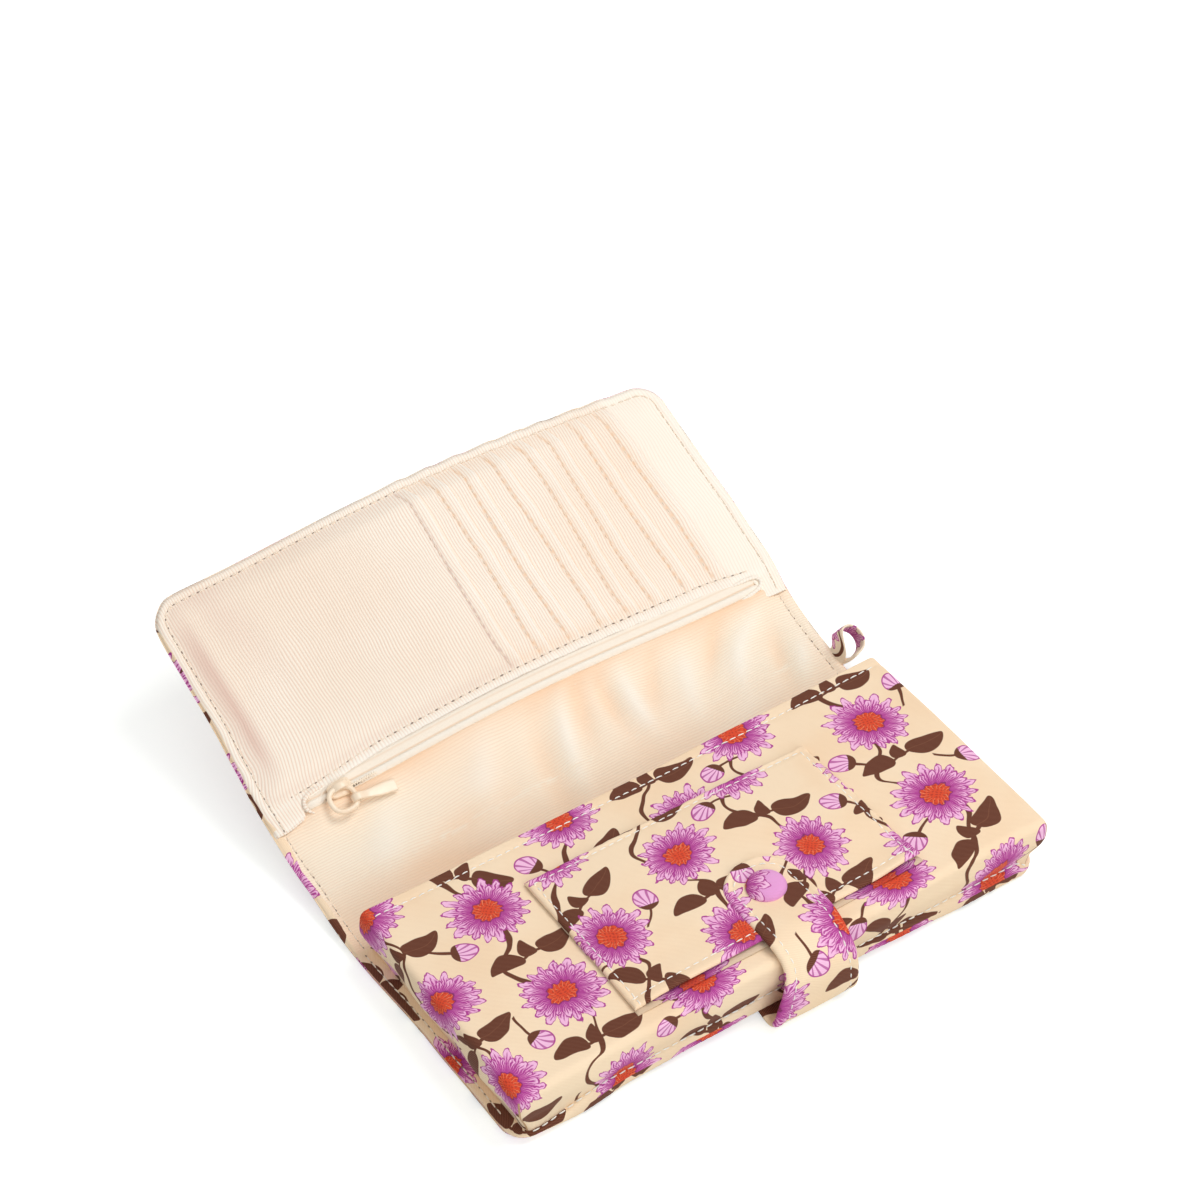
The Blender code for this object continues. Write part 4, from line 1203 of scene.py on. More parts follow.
# painted shade beside the first slot's edge, over the panel's painted shading
painted_shading = panel_painted_shading(x, q) + beside(x - first_edge, 0.40)
made = settle(laid("panel_backing", x, q, top, top - 0.25, BACKING_CLOTH, painted_shading), "flap", "card_backing")


edge_strip("cover_edge_low", 75.0, SPLIT_Q, folded_lower)
edge_strip("cover_edge_high", SPLIT_Q, 201.0, folded_upper)


# Zip
TAPE_N = 0.6
TAPE_Q = 129.5
CHAIN_Q = 130.35
COIL_PITCH = 0.78
SLIDER_X = -66.0

# The flap's directions: along it, across it and off its cloth
FLAP_X = np.array([1.0, 0.0, 0.0])
FLAP_Y = np.array([0.0, math.cos(2 * TILT), math.sin(2 * TILT)])
FLAP_N = np.array([0.0, -math.sin(2 * TILT), math.cos(2 * TILT)])


def window_sink(x):
    """The zip dips under the panel's cloth at both ends of its window."""
    left = ramp(WINDOW_LEFT + 1.8, WINDOW_LEFT - 0.4, x)
    return np.maximum(1.2 * left, 0.35 * ramp(WINDOW_RIGHT - 2.6, WINDOW_RIGHT, x))


def tape_n(x, q):
    """The tape rises into a rounded ridge over its coil, beyond a fine woven line."""
    ridge = 0.58 * ramp(131.95, 131.2, q) * (1 - 0.45 * ramp(130.3, 129.5, q))
    line = 0.07 * bell((q - 132.1) / 0.22)
    tucked = (0.30 + 0.22 * ramp(-10, -50, x)) * ramp(133.2, 135.2, q - zip_shift(x))
    return TAPE_N + ridge - line + tucked - window_sink(x)


def tape(name, q_low, q_high, lowered, node):
    """One side's tape, from its lower edge to its upper one."""
    x = np.linspace(ZIP_LEFT - 1.5, ZIP_RIGHT + 1.5, 150)[None]
    share = np.linspace(0, 1, max(9, int((q_high - np.min(q_low(x))) / 0.2)))[:, None]
    low = q_low(x)
    q = low + (q_high - low) * share
    x = np.broadcast_to(x, q.shape)
    top = tape_n(x, q) - lowered
    tucked_in = q > PANEL_Q + zip_shift(x) + window_drop(x) - 0.15
    top = np.where(tucked_in, np.minimum(top, panel_n(0, x, q) - 0.04), top)
    # painted shade along the woven line and under the panel's edge, and a painted highlight on the ridge over
    # the coil
    painted_shading = 0.7 * bell((q - 132.1) / 0.3) - 0.4 * bell((q - 130.9) / 0.6) + 0.35 * bell((q - 134.6) / 0.3)
    return settle(laid(name, x, q, top, top - 0.3, TAPE_CLOTH, painted_shading), "flap", node)


def upper_low(x):
    """The upper tape's lower edge, which makes room for the coil beside the slider."""
    return TAPE_Q + 1.45 * ramp(-57.5, -63.5, x) * ramp(-72.0, -69.5, x)


upper_tape = tape("tape_upper", upper_low, PANEL_Q + 2, 0.0, "zip_tape_upper")
tape("tape_lower", lambda x: 126.4 + 0 * x, 129.9, 0.35, "zip_tape_lower")


def coil(name, side, nodes):
    """One row of a nylon coil: slanted bars that meet the other row's, and a stitched cord."""
    cloth = Cloth()
    starts = np.arange(ZIP_LEFT - 0.5, ZIP_RIGHT - 0.3, COIL_PITCH) + (COIL_PITCH / 2 if side > 0 else 0)
    turn = np.linspace(0, 2 * np.pi, 7)
    shares = np.linspace(0, 1, 5)
    for start in starts:
        q = CHAIN_Q + side * (-0.10 + 0.62 * shares)
        shown = max(ramp(-56, -52.5, start), ramp(-69.5, -71.5, start))
        hidden = window_sink(start) - 0.32 + 0.65 * shown
        n = TAPE_N + 0.30 - hidden + 0.10 * np.sin(shares * np.pi) ** 0.7
        thick = (0.27 + 0.04 * np.cos(shares * np.pi))[:, None, None]
        here = spread(start + 0.16 * shares, q, n)
        up = np.cross(FLAP_X, unit(np.gradient(here, axis=0)))
        up *= np.sign(up[:, 2:3])
        across = np.broadcast_to(FLAP_X, here.shape)
        cloth.grid(tube(here, across, up, thick, thick), uv_of(q[:, None], start + turn[None]))
    settle(cloth.build(name, NYLON, angle=80, weld=0.0005), "flap", *nodes)
    x = np.arange(ZIP_LEFT - 1, ZIP_RIGHT, 1.2)
    cord = [spread(v, CHAIN_Q + side * 0.86, TAPE_N + 0.05 - window_sink(v)) for v in x]
    across = [(np.array([0, 1.0, 0.4]), np.array([0, -0.4, 1.0]))] * len(x)
    bead = swept(cord, across, [oval(0.16, 0.14, 8, 1.0)] * len(x), x).build(name + "_cord", NYLON, 80)
    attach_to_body(bead, "flap")


coil("coil_upper", 1, ("zip_coil_upper", "zip_stop_left"))
coil("coil_lower", -1, ("zip_coil_lower", "zip_stop_right"))


def zip_end(name, x_low, x_high, count, node):
    """The facing turned in round one end of the zip, just under the panel's cloth."""
    x = np.linspace(x_low, x_high, 25)[None]
    flat_q = np.linspace(PANEL_Q - 0.35, ZIP_STITCH_Q + 1.2, 15)[:, None]
    q = pulled(x, flat_q)
    x = np.broadcast_to(x, q.shape)
    top = panel_n(count, x, q) - 0.26
    settle(laid(name, x, q, top, top - 0.25, PANEL_CLOTH), "flap", node)


zip_end("zip_cloth_left", -HALF + 0.6, WINDOW_LEFT + 0.5, len(SLOT_EDGES), "zip_end_left")
zip_end("zip_cloth_right", WINDOW_RIGHT - 2.4, HALF - 0.6, 0, "zip_end_right")


def flap_place(origin, x, y, n):
    """Places from offsets along, across and off the flap."""
    x, y, n = np.broadcast_arrays(*(np.asarray(v, float) for v in (x, y, n)))
    return origin + x[..., None] * FLAP_X + y[..., None] * FLAP_Y + n[..., None] * FLAP_N


def frames(centres):
    """The directions square to a line's points: one close to across the flap, and one off it."""
    across = []
    for tangent in unit(np.gradient(np.array(centres), axis=0)):
        side = FLAP_Y - tangent * (FLAP_Y @ tangent)
        across.append((side, np.cross(tangent, side)))
    return across


LIP_SECTION = oval(0.62, 0.42, 14, 1.0)


def zip_lip(name, line, material):
    """A rounded lip of turned cloth round one end of the zip's window. Points are x, q and n."""
    line, _, at = along_path(curved(line, 8), 0.5)
    centres = spread(line[:, 0], line[:, 1], line[:, 2])
    across, sections = [], []
    for direction, length in zip(unit(np.gradient(centres, axis=0)), at):
        across.append((unit(np.cross(direction, FLAP_N)), FLAP_N))
        ends = min(length, at[-1] - length)
        pucker = 1 + 0.10 * math.sin(length * 2.1)
        sections.append(LIP_SECTION * (0.35 + 0.65 * float(ramp(0, 2.5, ends))) * pucker)
    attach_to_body(swept(centres, across, sections, at).build(name, material, 80), "flap")


zip_lip("zip_lip_right", [(73.0, 134.3, 0.9), (77.0, 134.2, 1.1), (80.2, 133.8, 1.25), (81.7, 132.4, 1.3),
                          (81.3, 130.8, 1.25), (79.0, 129.6, 1.2), (73.5, 128.9, 0.9)], BACKING_CLOTH)
zip_lip("zip_lip_left", [(-69.0, 134.3, 1.0), (-73.2, 134.1, 1.2), (-75.9, 132.8, 1.4), (-76.8, 130.9, 1.5),
                         (-76.5, 129.1, 1.4), (-75.2, 127.7, 1.1)], PANEL_CLOTH)

SLIDER = spread(SLIDER_X, COIL_Q, 0.0)
SLIDER_HALF = 3.8
shares = np.array((-1.0, -0.985, -0.93, -0.8, -0.55, -0.2, 0.2, 0.55, 0.8, 0.93, 0.985, 1.0))
centres = flap_place(SLIDER, shares * SLIDER_HALF, 0.0, 2.0)
sections = []
for share in shares:
    end = max(0.02, 1 - abs(share) ** 7) ** 0.5
    sections.append(oval((2.6 + 0.4 * share) * (0.25 + 0.75 * end), 0.85 * (0.3 + 0.7 * end), 24, 0.55))
body = swept(centres, [(FLAP_Y, FLAP_N)] * len(shares), sections, shares * SLIDER_HALF)
body = settle(body.build("slider", ENAMEL, 60), "zip_slider", "slider_body")
arch_line = curved([(-2.9, 2.2), (-2.5, 3.4), (-1.3, 4.6), (0, 4.92), (1.3, 4.6), (2.5, 3.4), (2.9, 2.2)], 5)
centres = flap_place(SLIDER, arch_line[:, 0], 0.0, arch_line[:, 1])
bridge = swept(centres, frames(centres), [oval(1.15, 0.38, 16, 0.7)] * len(centres), arch_line[:, 0])
bridge.build("slider_bridge", ENAMEL, 60).parent = body

turn = np.linspace(0, 2 * np.pi, 49)[:-1]
c, s = np.cos(turn), np.sin(turn)
centres = flap_place(joint_place("ring_hinge"), -2.0 + 3.95 * np.sign(c) * np.abs(c) ** 0.75,
                     -3.65 + 3.75 * np.sign(s) * np.abs(s) ** 0.8, 0.0)
turn = np.linspace(0, 2 * np.pi, 17)
uv = uv_of(np.linspace(0, 30, 49)[:, None], turn[None])
section = np.stack([np.sin(turn) * 0.66, np.cos(turn) * 0.80], -1)
settle(hoop(centres, FLAP_N, section, uv).build("ring", ENAMEL, 80), "ring", "pull_ring")

PULL_AXIS = joint_place("pull_hinge") + FLAP_Y * -5.2
pull_line = curved([(-1.35, -0.25), (-1.05, 0.8), (0.0, 1.3), (1.4, 0.85), (2.8, 0.25), (4.8, -0.1),
                    (7.0, -0.35), (9.4, -0.6), (11.4, -0.8), (12.3, -0.9), (12.6, -0.92)], 4)
centres = flap_place(PULL_AXIS, pull_line[:, 0], -0.10 * pull_line[:, 0], pull_line[:, 1])
sections = []
for a in pull_line[:, 0]:
    end = max(0.0, 1 - max(0.0, (a - 12.0) / 0.62) ** 2) ** 0.5
    wide = 1.15 + 0.75 * float(ramp(1.5, 9, a))
    sections.append(oval(wide * (0.85 + 0.15 * end), 0.55 * (0.35 + 0.65 * end), 20, 0.42))
pull = swept(centres, frames(centres), sections, pull_line[:, 0]).build("pull", ENAMEL, 60)
settle(pull, "pull", "pull_tab")
turn = np.linspace(0, 2 * np.pi, 25)[:-1]
centres = flap_place(PULL_AXIS, 1.4 * np.cos(turn), 0.0, 1.3 * np.sin(turn) - 0.05)
section = oval(1.1, 0.38, 12, 0.6)
section = np.concatenate([section, section[:1]])
hoop(centres, FLAP_Y, section, np.zeros((25, 13, 2))).build("pull_eye", ENAMEL, 80).parent = pull


# Phone pocket

def top_z(x, y):
    """The pocket's top, which sags towards its mouth and is a little uneven."""
    level = TOP_NEAR_Z + (TOP_MOUTH_Z - TOP_NEAR_Z) * (y - TOP_NEAR) / (MOUTH_Y - TOP_NEAR)
    across = 1 - np.clip(np.abs(x) / TOP_HALF, 0, 1) ** 2.4
    sag = 1.3 * across * ramp(-25, MOUTH_Y, y)
    crown = 0.5 * across * ramp(TOP_NEAR, -20, y) * ramp(MOUTH_Y, 0, y)
    waves = 0.22 * np.sin(x * 0.075 + y * 0.03 + 0.6) * np.sin(y * 0.09 + 0.8)
    waves = waves + 0.14 * np.sin(x * 0.16 - y * 0.1)
    for side, depth in ((-1, 1.5), (1, 0.7)):
        sag = sag + depth * np.exp(-((x - side * TOP_HALF) ** 2 + (y - TOP_NEAR) ** 2) / 90.0)
    hem = 0.22 * bell((y - MOUTH_STITCH_Y) / 0.7)
    pucker = 0.06 * in_step(x) * bell((y - MOUTH_STITCH_Y) / 1.6)
    return level - sag + crown + waves - hem + pucker


def near_foot(x):
    """Where the near wall ends in its ridge of stitches. It runs down to the seam at the corners."""
    left = ramp(-58, -85, x)
    right = ramp(80, 87, x)
    return RIDGE_Z + 0.7 * np.clip(1 - (x / 80) ** 2, 0, 1) + (SIDE_FOOT - RIDGE_Z) * np.maximum(left, right)


WALL_STEPS = np.array((0.02, 0.05, 0.09, 0.13, 0.17, 0.21, 0.26, 0.32, 0.39, 0.46, 0.54, 0.62, 0.70, 0.78,
                       0.85, 0.91, 0.96, 1.0))
TOP_X = np.concatenate([[0, 0.4, 0.9, 1.5, 2.2, 3.0, 4.0, 5.5], np.linspace(8, 170, 72),
                        [172.5, 174, 175, 175.8, 176.5, 177.1, 177.6, 178]]) - TOP_HALF
TOP_Y = np.concatenate([[0, 0.2, 0.5, 1.0, 1.8, 2.5, 2.9, 3.2, 3.5, 4.0, 5.0, 6.5, 8.5],
                        np.linspace(10.5, 75, 30), [77, 78.5, 79.5, 80.3, 81.0, 81.6, 82.1, 82.5]])
TOP_Y = MOUTH_Y - TOP_Y * (MOUTH_Y - TOP_NEAR) / 82.5


def pocket_grid(inset):
    """The pocket's cloth, off its outer face by inset, with the cut-out corners masked."""
    walls = len(WALL_STEPS)
    x0, y0 = np.meshgrid(np.pad(TOP_X, walls, mode="edge"), np.pad(TOP_Y, (0, walls), mode="edge"))
    tx, ty = np.meshgrid(
        np.concatenate([WALL_STEPS[::-1], 0 * TOP_X, WALL_STEPS]), np.concatenate([0 * TOP_Y, WALL_STEPS])
    )
    scale = (TOP_HALF - inset) / TOP_HALF
    x = x0 * scale
    y = MOUTH_Y + (y0 - MOUTH_Y) * (MOUTH_Y - TOP_NEAR - inset) / (MOUTH_Y - TOP_NEAR)
    top = top_z(x0, y0) - inset
    t = np.maximum(tx, ty)
    foot = np.where(tx > 0, SIDE_FOOT, near_foot(x0))
    z = top - t * (top - foot)
    radius = max(POCKET_R - inset * 0.8, 1.2)
    half = TOP_HALF - inset
    near = TOP_NEAR + inset
    qx = np.clip(x, -(half - radius), half - radius)
    qy = np.maximum(y, near + radius)
    qz = np.minimum(z, top - radius)
    off = np.stack([x - qx, y - qy, z - qz], -1)
    length = np.linalg.norm(off, axis=-1, keepdims=True)
    on_edge = length[..., 0] > 1e-6
    core = np.stack([qx, qy, qz], -1)
    boxed = np.stack([x, y, z], -1)
    places = np.where(on_edge[..., None], core + off * (radius / np.maximum(length, 1e-6)), boxed)
    flat_top = (t == 0) & (np.abs(x) <= half - radius) & (y >= near + radius)
    places[flat_top] = boxed[flat_top]
    height = places[..., 2]
    side_scale = (FOOT_HALF + (TOP_HALF - FOOT_HALF) * ramp(3, 15, height)) / TOP_HALF
    belly = 0.7 * np.sin(np.clip((height - 3) / 18, 0, 1) * np.pi)
    places[..., 0] = places[..., 0] * side_scale + np.sign(x0) * belly * ramp(80, 89, np.abs(x)) * 0.5
    right_growth = np.interp(places[..., 1], (-47, -30, 0, 36), (1.9, 1.6, 1.1, 0.5)) * ramp(6, 18, height)
    places[..., 0] += right_growth * ramp(40, 88, x0)
    near_shift = (TOP_NEAR - WALL_FOOT_Y) * (1 - ramp(RIDGE_Z - 0.5, 15, height))
    toward_near = ramp(0, TOP_NEAR, places[..., 1])
    drape = 0.5 * np.sin(x0 * 0.09 + 1.0) * np.sin(np.clip((height - 7) / 14, 0, 1) * np.pi)
    gathers = np.sin(x0 * 0.37 + 2 * np.sin(x0 * 0.05))
    drape = drape + 0.45 * gathers * np.exp(-np.clip(height - RIDGE_Z, 0, 20) / 3.0)
    side_fold = 0.55 * np.sin(places[..., 1] * 0.21 + 0.8) * np.sin(np.clip((height - 3) / 16, 0, 1) * np.pi)
    places[..., 0] += side_fold * ramp(80, 89, np.abs(x)) * np.sign(x0)
    swell = (belly * 0.6 + drape * 0.4) * ramp(-40, -47, places[..., 1])
    places[..., 1] = places[..., 1] - near_shift * toward_near - swell
    wall_length = top - SIDE_FOOT
    u = x0 + np.sign(x0) * tx * wall_length
    v = y0 - ty * (top - foot)
    # a cell is in a cut-out corner where it reaches down a side wall and the near wall at once
    tx_cell = np.maximum(tx[:-1, :-1], tx[:-1, 1:])
    ty_cell = np.maximum(ty[:-1, :-1], ty[1:, :-1])
    return places, uv_of(u, v), ~((tx_cell > 0) & (ty_cell > 0))


outer, uv, keep = pocket_grid(0.0)
inner = pocket_grid(SHELL_T)[0]
cloth = Cloth().grid(outer, uv, flip=True, keep=keep).grid(inner, uv, keep=keep)
roll_turn = np.linspace(0, np.pi, 6)[:, None, None]
mid = (outer[0] + inner[0]) / 2
rad = (outer[0] - inner[0]) / 2
lip = mid[None] + rad[None] * np.cos(roll_turn) + np.array([0, 0.6, 0]) * np.sin(roll_turn)
cloth.grid(lip, np.broadcast_to(uv[0], lip.shape[:2] + (2,)))
corner_row = len(TOP_Y) - 1
for side, label in SIDES:
    line = outer[corner_row, ::-side][:len(WALL_STEPS) - 1] + np.array([side * 0.02, -0.02, 0.0])
    outward = np.array([side * 0.6, -0.8, 0.0])
    across = [(np.cross(tangent, outward), outward) for tangent in unit(np.gradient(line, axis=0))]
    # the boxed corner's seam, coloured dark as painted shade of its crease
    seam = swept(line, across, [oval(0.30, 0.14, 10, 1.0)] * len(line), line[:, 2])
    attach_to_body(seam.build(f"corner_seam_{label}", SEAM_CREASE_SHADE, 80), "base")
shell = settle(cloth.build("pocket", PRINT_TOP, angle=60), "base", "pocket_shell", "mouth_hem")

top, uv, keep = pocket_grid(SHELL_T + 0.15)
under = pocket_grid(SHELL_T + 0.55)[0]
keep[:DEEP] = False
cloth = Cloth().grid(top, uv, flip=True, keep=keep).grid(under, uv, keep=keep).hem(top, under, uv, keep)
made = settle(cloth.build("pocket_inside", INNER_CLOTH, angle=60), "base", "pocket_lining")


# Seam round the pocket's foot

RIM_REACH = HALF - 1.7


def rim_path():
    """The seam's middle line from the left of the mouth round both near corners, in x and y."""
    reach, near, radius = RIM_REACH, NEAR_Y + 0.2, 4.5
    side = [(-reach, y) for y in np.linspace(MOUTH_Y + 1, near + radius, 40)]
    corner = [(-reach + radius - radius * math.cos(t), near + radius - radius * math.sin(t))
              for t in np.linspace(0, math.pi / 2, 9)[1:]]
    middle = [(x, near) for x in np.linspace(-reach + radius, reach - radius, 90)[1:-1]]
    points = np.array(side + corner + middle)
    mirrored = np.array(side + corner)[::-1] * (-1, 1)
    points = np.concatenate([points, mirrored])
    points[:, 0] = widened(points[:, 0], points[:, 1] - NEAR_Y)
    points[:, 1] -= 1.1 * ramp(-52, -72, points[:, 0]) * ramp(NEAR_Y + 12, NEAR_Y + 3, points[:, 1])
    return points


RIM, RIM_TANGENT, RIM_AT = along_path(rim_path(), 1.2)


def rim_pieces():
    """The seam lies flat at both sides and rolls up along the near edge."""
    near_share = ramp(6.0, -0.5, RIM[:, 1] - NEAR_Y) * ramp(-86, -66, RIM[:, 0]) * ramp(88.5, 83, RIM[:, 0])
    sections, centres, across = [], [], []
    for (x, y), tangent, share, at in zip(RIM, RIM_TANGENT, near_share, RIM_AT):
        ridge = float(near_foot(x)) if share > 0 else SIDE_FOOT
        raised = float(lift(np.array(x), 0.0)) * share
        low = 0.25 * share + (1 - share) * 2.35 + raised
        high = (ridge + 0.35) * share + (1 - share) * 3.35
        pucker = 0.10 * float(in_step(at)) + 0.14 * math.sin(at * 0.31) * share
        half_h = (high - low) / 2 + pucker * share * 0.5
        grown = max(0.0, abs(x) - RIM_REACH) if share < 0.5 else 0.0
        bulge = 1.75 + 0.25 * math.sin(at * 0.083 + 1.0)
        half_w = (1.9 + grown / 2) * (1 - share) + bulge * share + pucker * share * 0.4
        outward = np.array([tangent[1], -tangent[0], 0.0])
        off = (-0.2 - grown / 2) * (1 - share) + 0.15 * share
        centres.append(np.array([x, y, (low + high) / 2]) + outward * off)
        across.append((outward, UP))
        sections.append(oval(half_w, half_h, 24, 0.75))
    return centres, across, sections


centres, across, sections = rim_pieces()
corner_left = int(np.argmax(RIM[:, 1] < NEAR_Y + 4))
corner_right = len(RIM) - int(np.argmax(RIM[::-1, 1] < NEAR_Y + 4))
for name, start, stop, node in (
    ("seam_side_left", 0, corner_left + 1, "seam_left"),
    ("seam_roll_near", corner_left, corner_right, "seam_near"),
    ("seam_side_right", corner_right - 1, len(RIM), "seam_right"),
):
    seam = swept(centres[start:stop], across[start:stop], sections[start:stop], RIM_AT[start:stop])
    settle(seam.build(name, PRINT, 70), "base", node)


# Slip pocket

def patch_outline(t_x, t_y):
    """Places on the slip pocket from shares of its width and depth, slightly out of square."""
    left = PATCH_LEFT + 0.8 * t_y
    right = PATCH_RIGHT - 1.6 * t_y
    near = PATCH_NEAR + 1.2 * t_x
    far = PATCH_FAR - 1.2 * t_x
    bow = 0.35 * np.sin(t_x * np.pi)
    x = left + (right - left) * t_x
    y = near - bow + (far - near + bow * 2) * t_y
    return x, y


def patch_sheet(name, node, near_shift, level, thick, lift_near, material, stitched):
    """One of the slip pocket's two cloths. Its near edge gapes by lift_near."""
    width = PATCH_RIGHT - PATCH_LEFT
    depth = PATCH_FAR - PATCH_NEAR
    fine = np.array((0.0, 0.12, 0.35, 0.7, 1.1, 1.6, 2.1, 2.6, 3.2, 4.0, 5.5))
    sx = np.concatenate([fine, np.linspace(8, width - 8, 44), (width - fine)[::-1]]) / width
    sy = np.concatenate([fine, np.linspace(8, depth - 8, 26), (depth - fine)[::-1]]) / depth
    t_x, t_y = np.meshgrid(sx, sy)
    x, y = patch_outline(t_x, t_y)
    y = y + near_shift * (1 - t_y)
    e_side = np.minimum(t_x, 1 - t_x) * width
    e_far = (1 - t_y) * depth
    e_near = t_y * depth
    e = np.minimum(np.minimum(e_side, e_far), e_near)
    edge_round = np.sqrt(np.clip(e / 0.9, 0, 1))
    stitch_e = np.minimum(e_side, e_far)
    groove = 0.35 * bell((stitch_e - 2.0) / 0.6) * stitched
    groove += 0.28 * bell((e_near - 3.4) / 0.7) * stitched
    ripple = (0.16 + 0.20 * ramp(0.9, 1.0, t_x)) * np.sin((x + y) * 2 * np.pi / 5.3) * np.exp(-stitch_e / 2.5)
    puff = 0.55 * smooth(e / 16) * (0.8 + 0.3 * np.sin(x * 0.08 + 1) * np.sin(y * 0.1))
    gape = lift_near * (1 - ramp(0, 13, e_near)) * (0.55 + 0.45 * np.sin(t_x * np.pi + 0.4) ** 2)
    gape = gape * (1 + 0.25 * np.sin(t_x * 14)) * ramp(-0.02, 0.10, np.minimum(t_x, 1 - t_x))
    gape = gape + 1.3 * lift_near * ramp(0.84, 1.0, t_x) * (1 - ramp(0, 11, e_near))
    bottom = top_z(x, y) + level
    top = bottom + thick * (0.25 + 0.75 * edge_round) + puff + ripple - groove + gape
    under = bottom + gape * 0.97 + np.minimum(0.0, ripple)
    under = np.minimum(under + puff * 0.6 * smooth((e - 1) / 6), top - 0.12)
    places_top = np.stack([x, y, top], -1)
    made = Cloth().solid(places_top, np.stack([x, y, under], -1), uv_of(x, y)).build(name, material, angle=70)
    settle(made, "base", node)
    return places_top, sx * width, sy * depth


patch_sheet("slip_backing", "patch_backing", -1.5, 0.06, 0.5, 0.35, PRINT_INNER_SHADED, 0.0)
PATCH_TOP, PATCH_SX, PATCH_SY = patch_sheet(
    "slip_pocket", "patch_panel", 0.0, 0.8, 1.05, 1.2, PRINT_PATCH, 1.0
)


# Closure tab
TAB_LIFT = 2.0
TAB_LINE = curved([
    (-42.5, 1.5 + TAB_LIFT * 0.5), (-45.5, 1.25 + TAB_LIFT * 0.3), (-48.6, 1.15), (-51.3, 2.2), (-52.5, 5.0),
    (-52.7, 9.0), (-52.6, 13.2), (-51.6, 17.4), (-49.0, 21.2), (-45.0, 23.7), (-40.5, 24.7), (-35.0, 24.6),
    (-29.0, 24.2), (-23.0, 24.0), (-17.5, 24.1), (-13.0, 24.5),
], 8)
TAB_PATH, TAB_TANGENT, TAB_AT = along_path(TAB_LINE, 0.6)
TAB_TOTAL = TAB_AT[-1]


def tab_place(x, at, n):
    """Places on the tab from x, the length along it and the height over its middle."""
    y = np.interp(at, TAB_AT, TAB_PATH[:, 0])
    z = np.interp(at, TAB_AT, TAB_PATH[:, 1])
    ty = np.interp(at, TAB_AT, TAB_TANGENT[:, 0])
    tz = np.interp(at, TAB_AT, TAB_TANGENT[:, 1])
    size = np.hypot(ty, tz)
    return np.stack([x + 0 * y, y - n * tz / size, z + n * ty / size], -1)


def tab_half(at):
    """The tab narrows to a round tip and is a little narrower where it leaves the seam."""
    into = np.clip(at - (TAB_TOTAL - TAB_TIP_R), 0, TAB_TIP_R)
    waist = 0.5 * bell((at - 30) / 8.0)
    return (TAB_HALF - waist) * np.sqrt(np.clip(1 - (into / TAB_TIP_R) ** 2.2, 0, 1)) + 0.02


def tab_n(x, at):
    """Half thickness, with rounded edges and the groove of the edge stitching."""
    e = np.minimum(tab_half(at) - np.abs(x), TAB_TOTAL - at)
    body = TAB_T / 2 * (0.1 + 0.9 * np.sqrt(np.clip(1 - (1 - np.clip(e, 0, 1.2) / 1.2) ** 2, 0, 1)))
    groove = 0.22 * bell((e - 3.0) / 0.6)
    edge_puff = 0.10 * bell((e - 1.5) / 0.8)
    pucker = 0.07 * in_step(at) * bell((e - 2.6) / 1.5)
    belly = 0.16 * smooth((e - 3.5) / 5)
    return body - groove + edge_puff + pucker + belly


def tab_lean(x, at):
    """The tab's left edge runs out to the left towards its root."""
    return x + x * 0.42 * ramp(31, 9, at) * (x < 0)


TIP_STEPS = (0.0, 0.06, 0.2, 0.45, 0.8, 1.2, 1.8, 2.4, 3.0, 3.6, 4.4, 5.4, 6.8, 8.6, 11.0)


def tab_piece(name, start, stop, rider, *replaced):
    """The tab's two cloths and padding as one piece, from one length along it to another."""
    rows = graded(start, stop, 0.8, (), TIP_STEPS if stop >= TAB_TOTAL else ())[:, None]
    fine = np.array((0.0, 0.08, 0.25, 0.5, 0.85, 1.2, 1.7, 2.2, 2.6, 3.0, 3.4, 4.0, 5.0)) / TAB_HALF
    x = tab_half(rows) * np.concatenate([-1 + fine, np.linspace(-0.52, 0.52, 13), (1 - fine)[::-1]])[None]
    at = np.broadcast_to(rows, x.shape)
    n = tab_n(x, at)
    top, under = (tab_place(TAB_X + tab_lean(x, at), at, height) for height in (n, -np.minimum(n, TAB_T / 2)))
    made = Cloth().solid(top, under, uv_of(x, at)).build(name, PRINT_TAB, angle=70)
    settle(made, rider, *replaced)


TAB_SPLIT = float(TAB_AT[np.argmin(np.abs(TAB_PATH[:, 1] - 11.0) + 100 * (TAB_PATH[:, 0] > -50))])


def blend_tab_lower(obj):
    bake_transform(obj)


def blend_tab_upper(obj):
    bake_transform(obj)


tab_piece("tab_lower", 0.0, TAB_SPLIT, blend_tab_lower, "tab_root", "tab_riser_cover", "tab_riser_padding")
tab_piece("tab_upper", TAB_SPLIT, TAB_TOTAL, blend_tab_upper,
          "tab_riser_facing", "tab_end_cover", "tab_end_padding", "tab_end_facing")


# Covered snap cap
CAP_CENTRE = (CAP_LOW + CAP_HIGH) / 2
CAP_SEAT = 25.0
CAP_R = (CAP_HIGH[0] - CAP_LOW[0]) / 2
profile = curved([
    (0.0, 3.0), (1.8, 2.93), (3.5, 2.62), (4.8, 2.05), (5.6, 1.3), (5.9, 0.55), (5.75, -0.15), (5.2, -0.6),
    (3.0, -0.7), (0.02, -0.7),
], 4)
turn = np.linspace(0, 2 * np.pi, 49)
radius, height = profile[:, :1], profile[:, 1:]
dent = 0.05 * np.sin(turn * 2 + 0.7)[None] * np.sin(np.clip(radius / CAP_R, 0, 1) * np.pi)
places = np.stack([
    CAP_CENTRE[0] + radius * np.cos(turn),
    CAP_CENTRE[1] + radius * np.sin(turn),
    CAP_SEAT + height + dent + 0 * turn,
], -1)
reach = np.concatenate([[0], np.cumsum(np.hypot(np.diff(profile[:, 0]), np.diff(profile[:, 1])))])[:, None]
uv = np.stack([reach * np.cos(turn), reach * np.sin(turn)], -1)
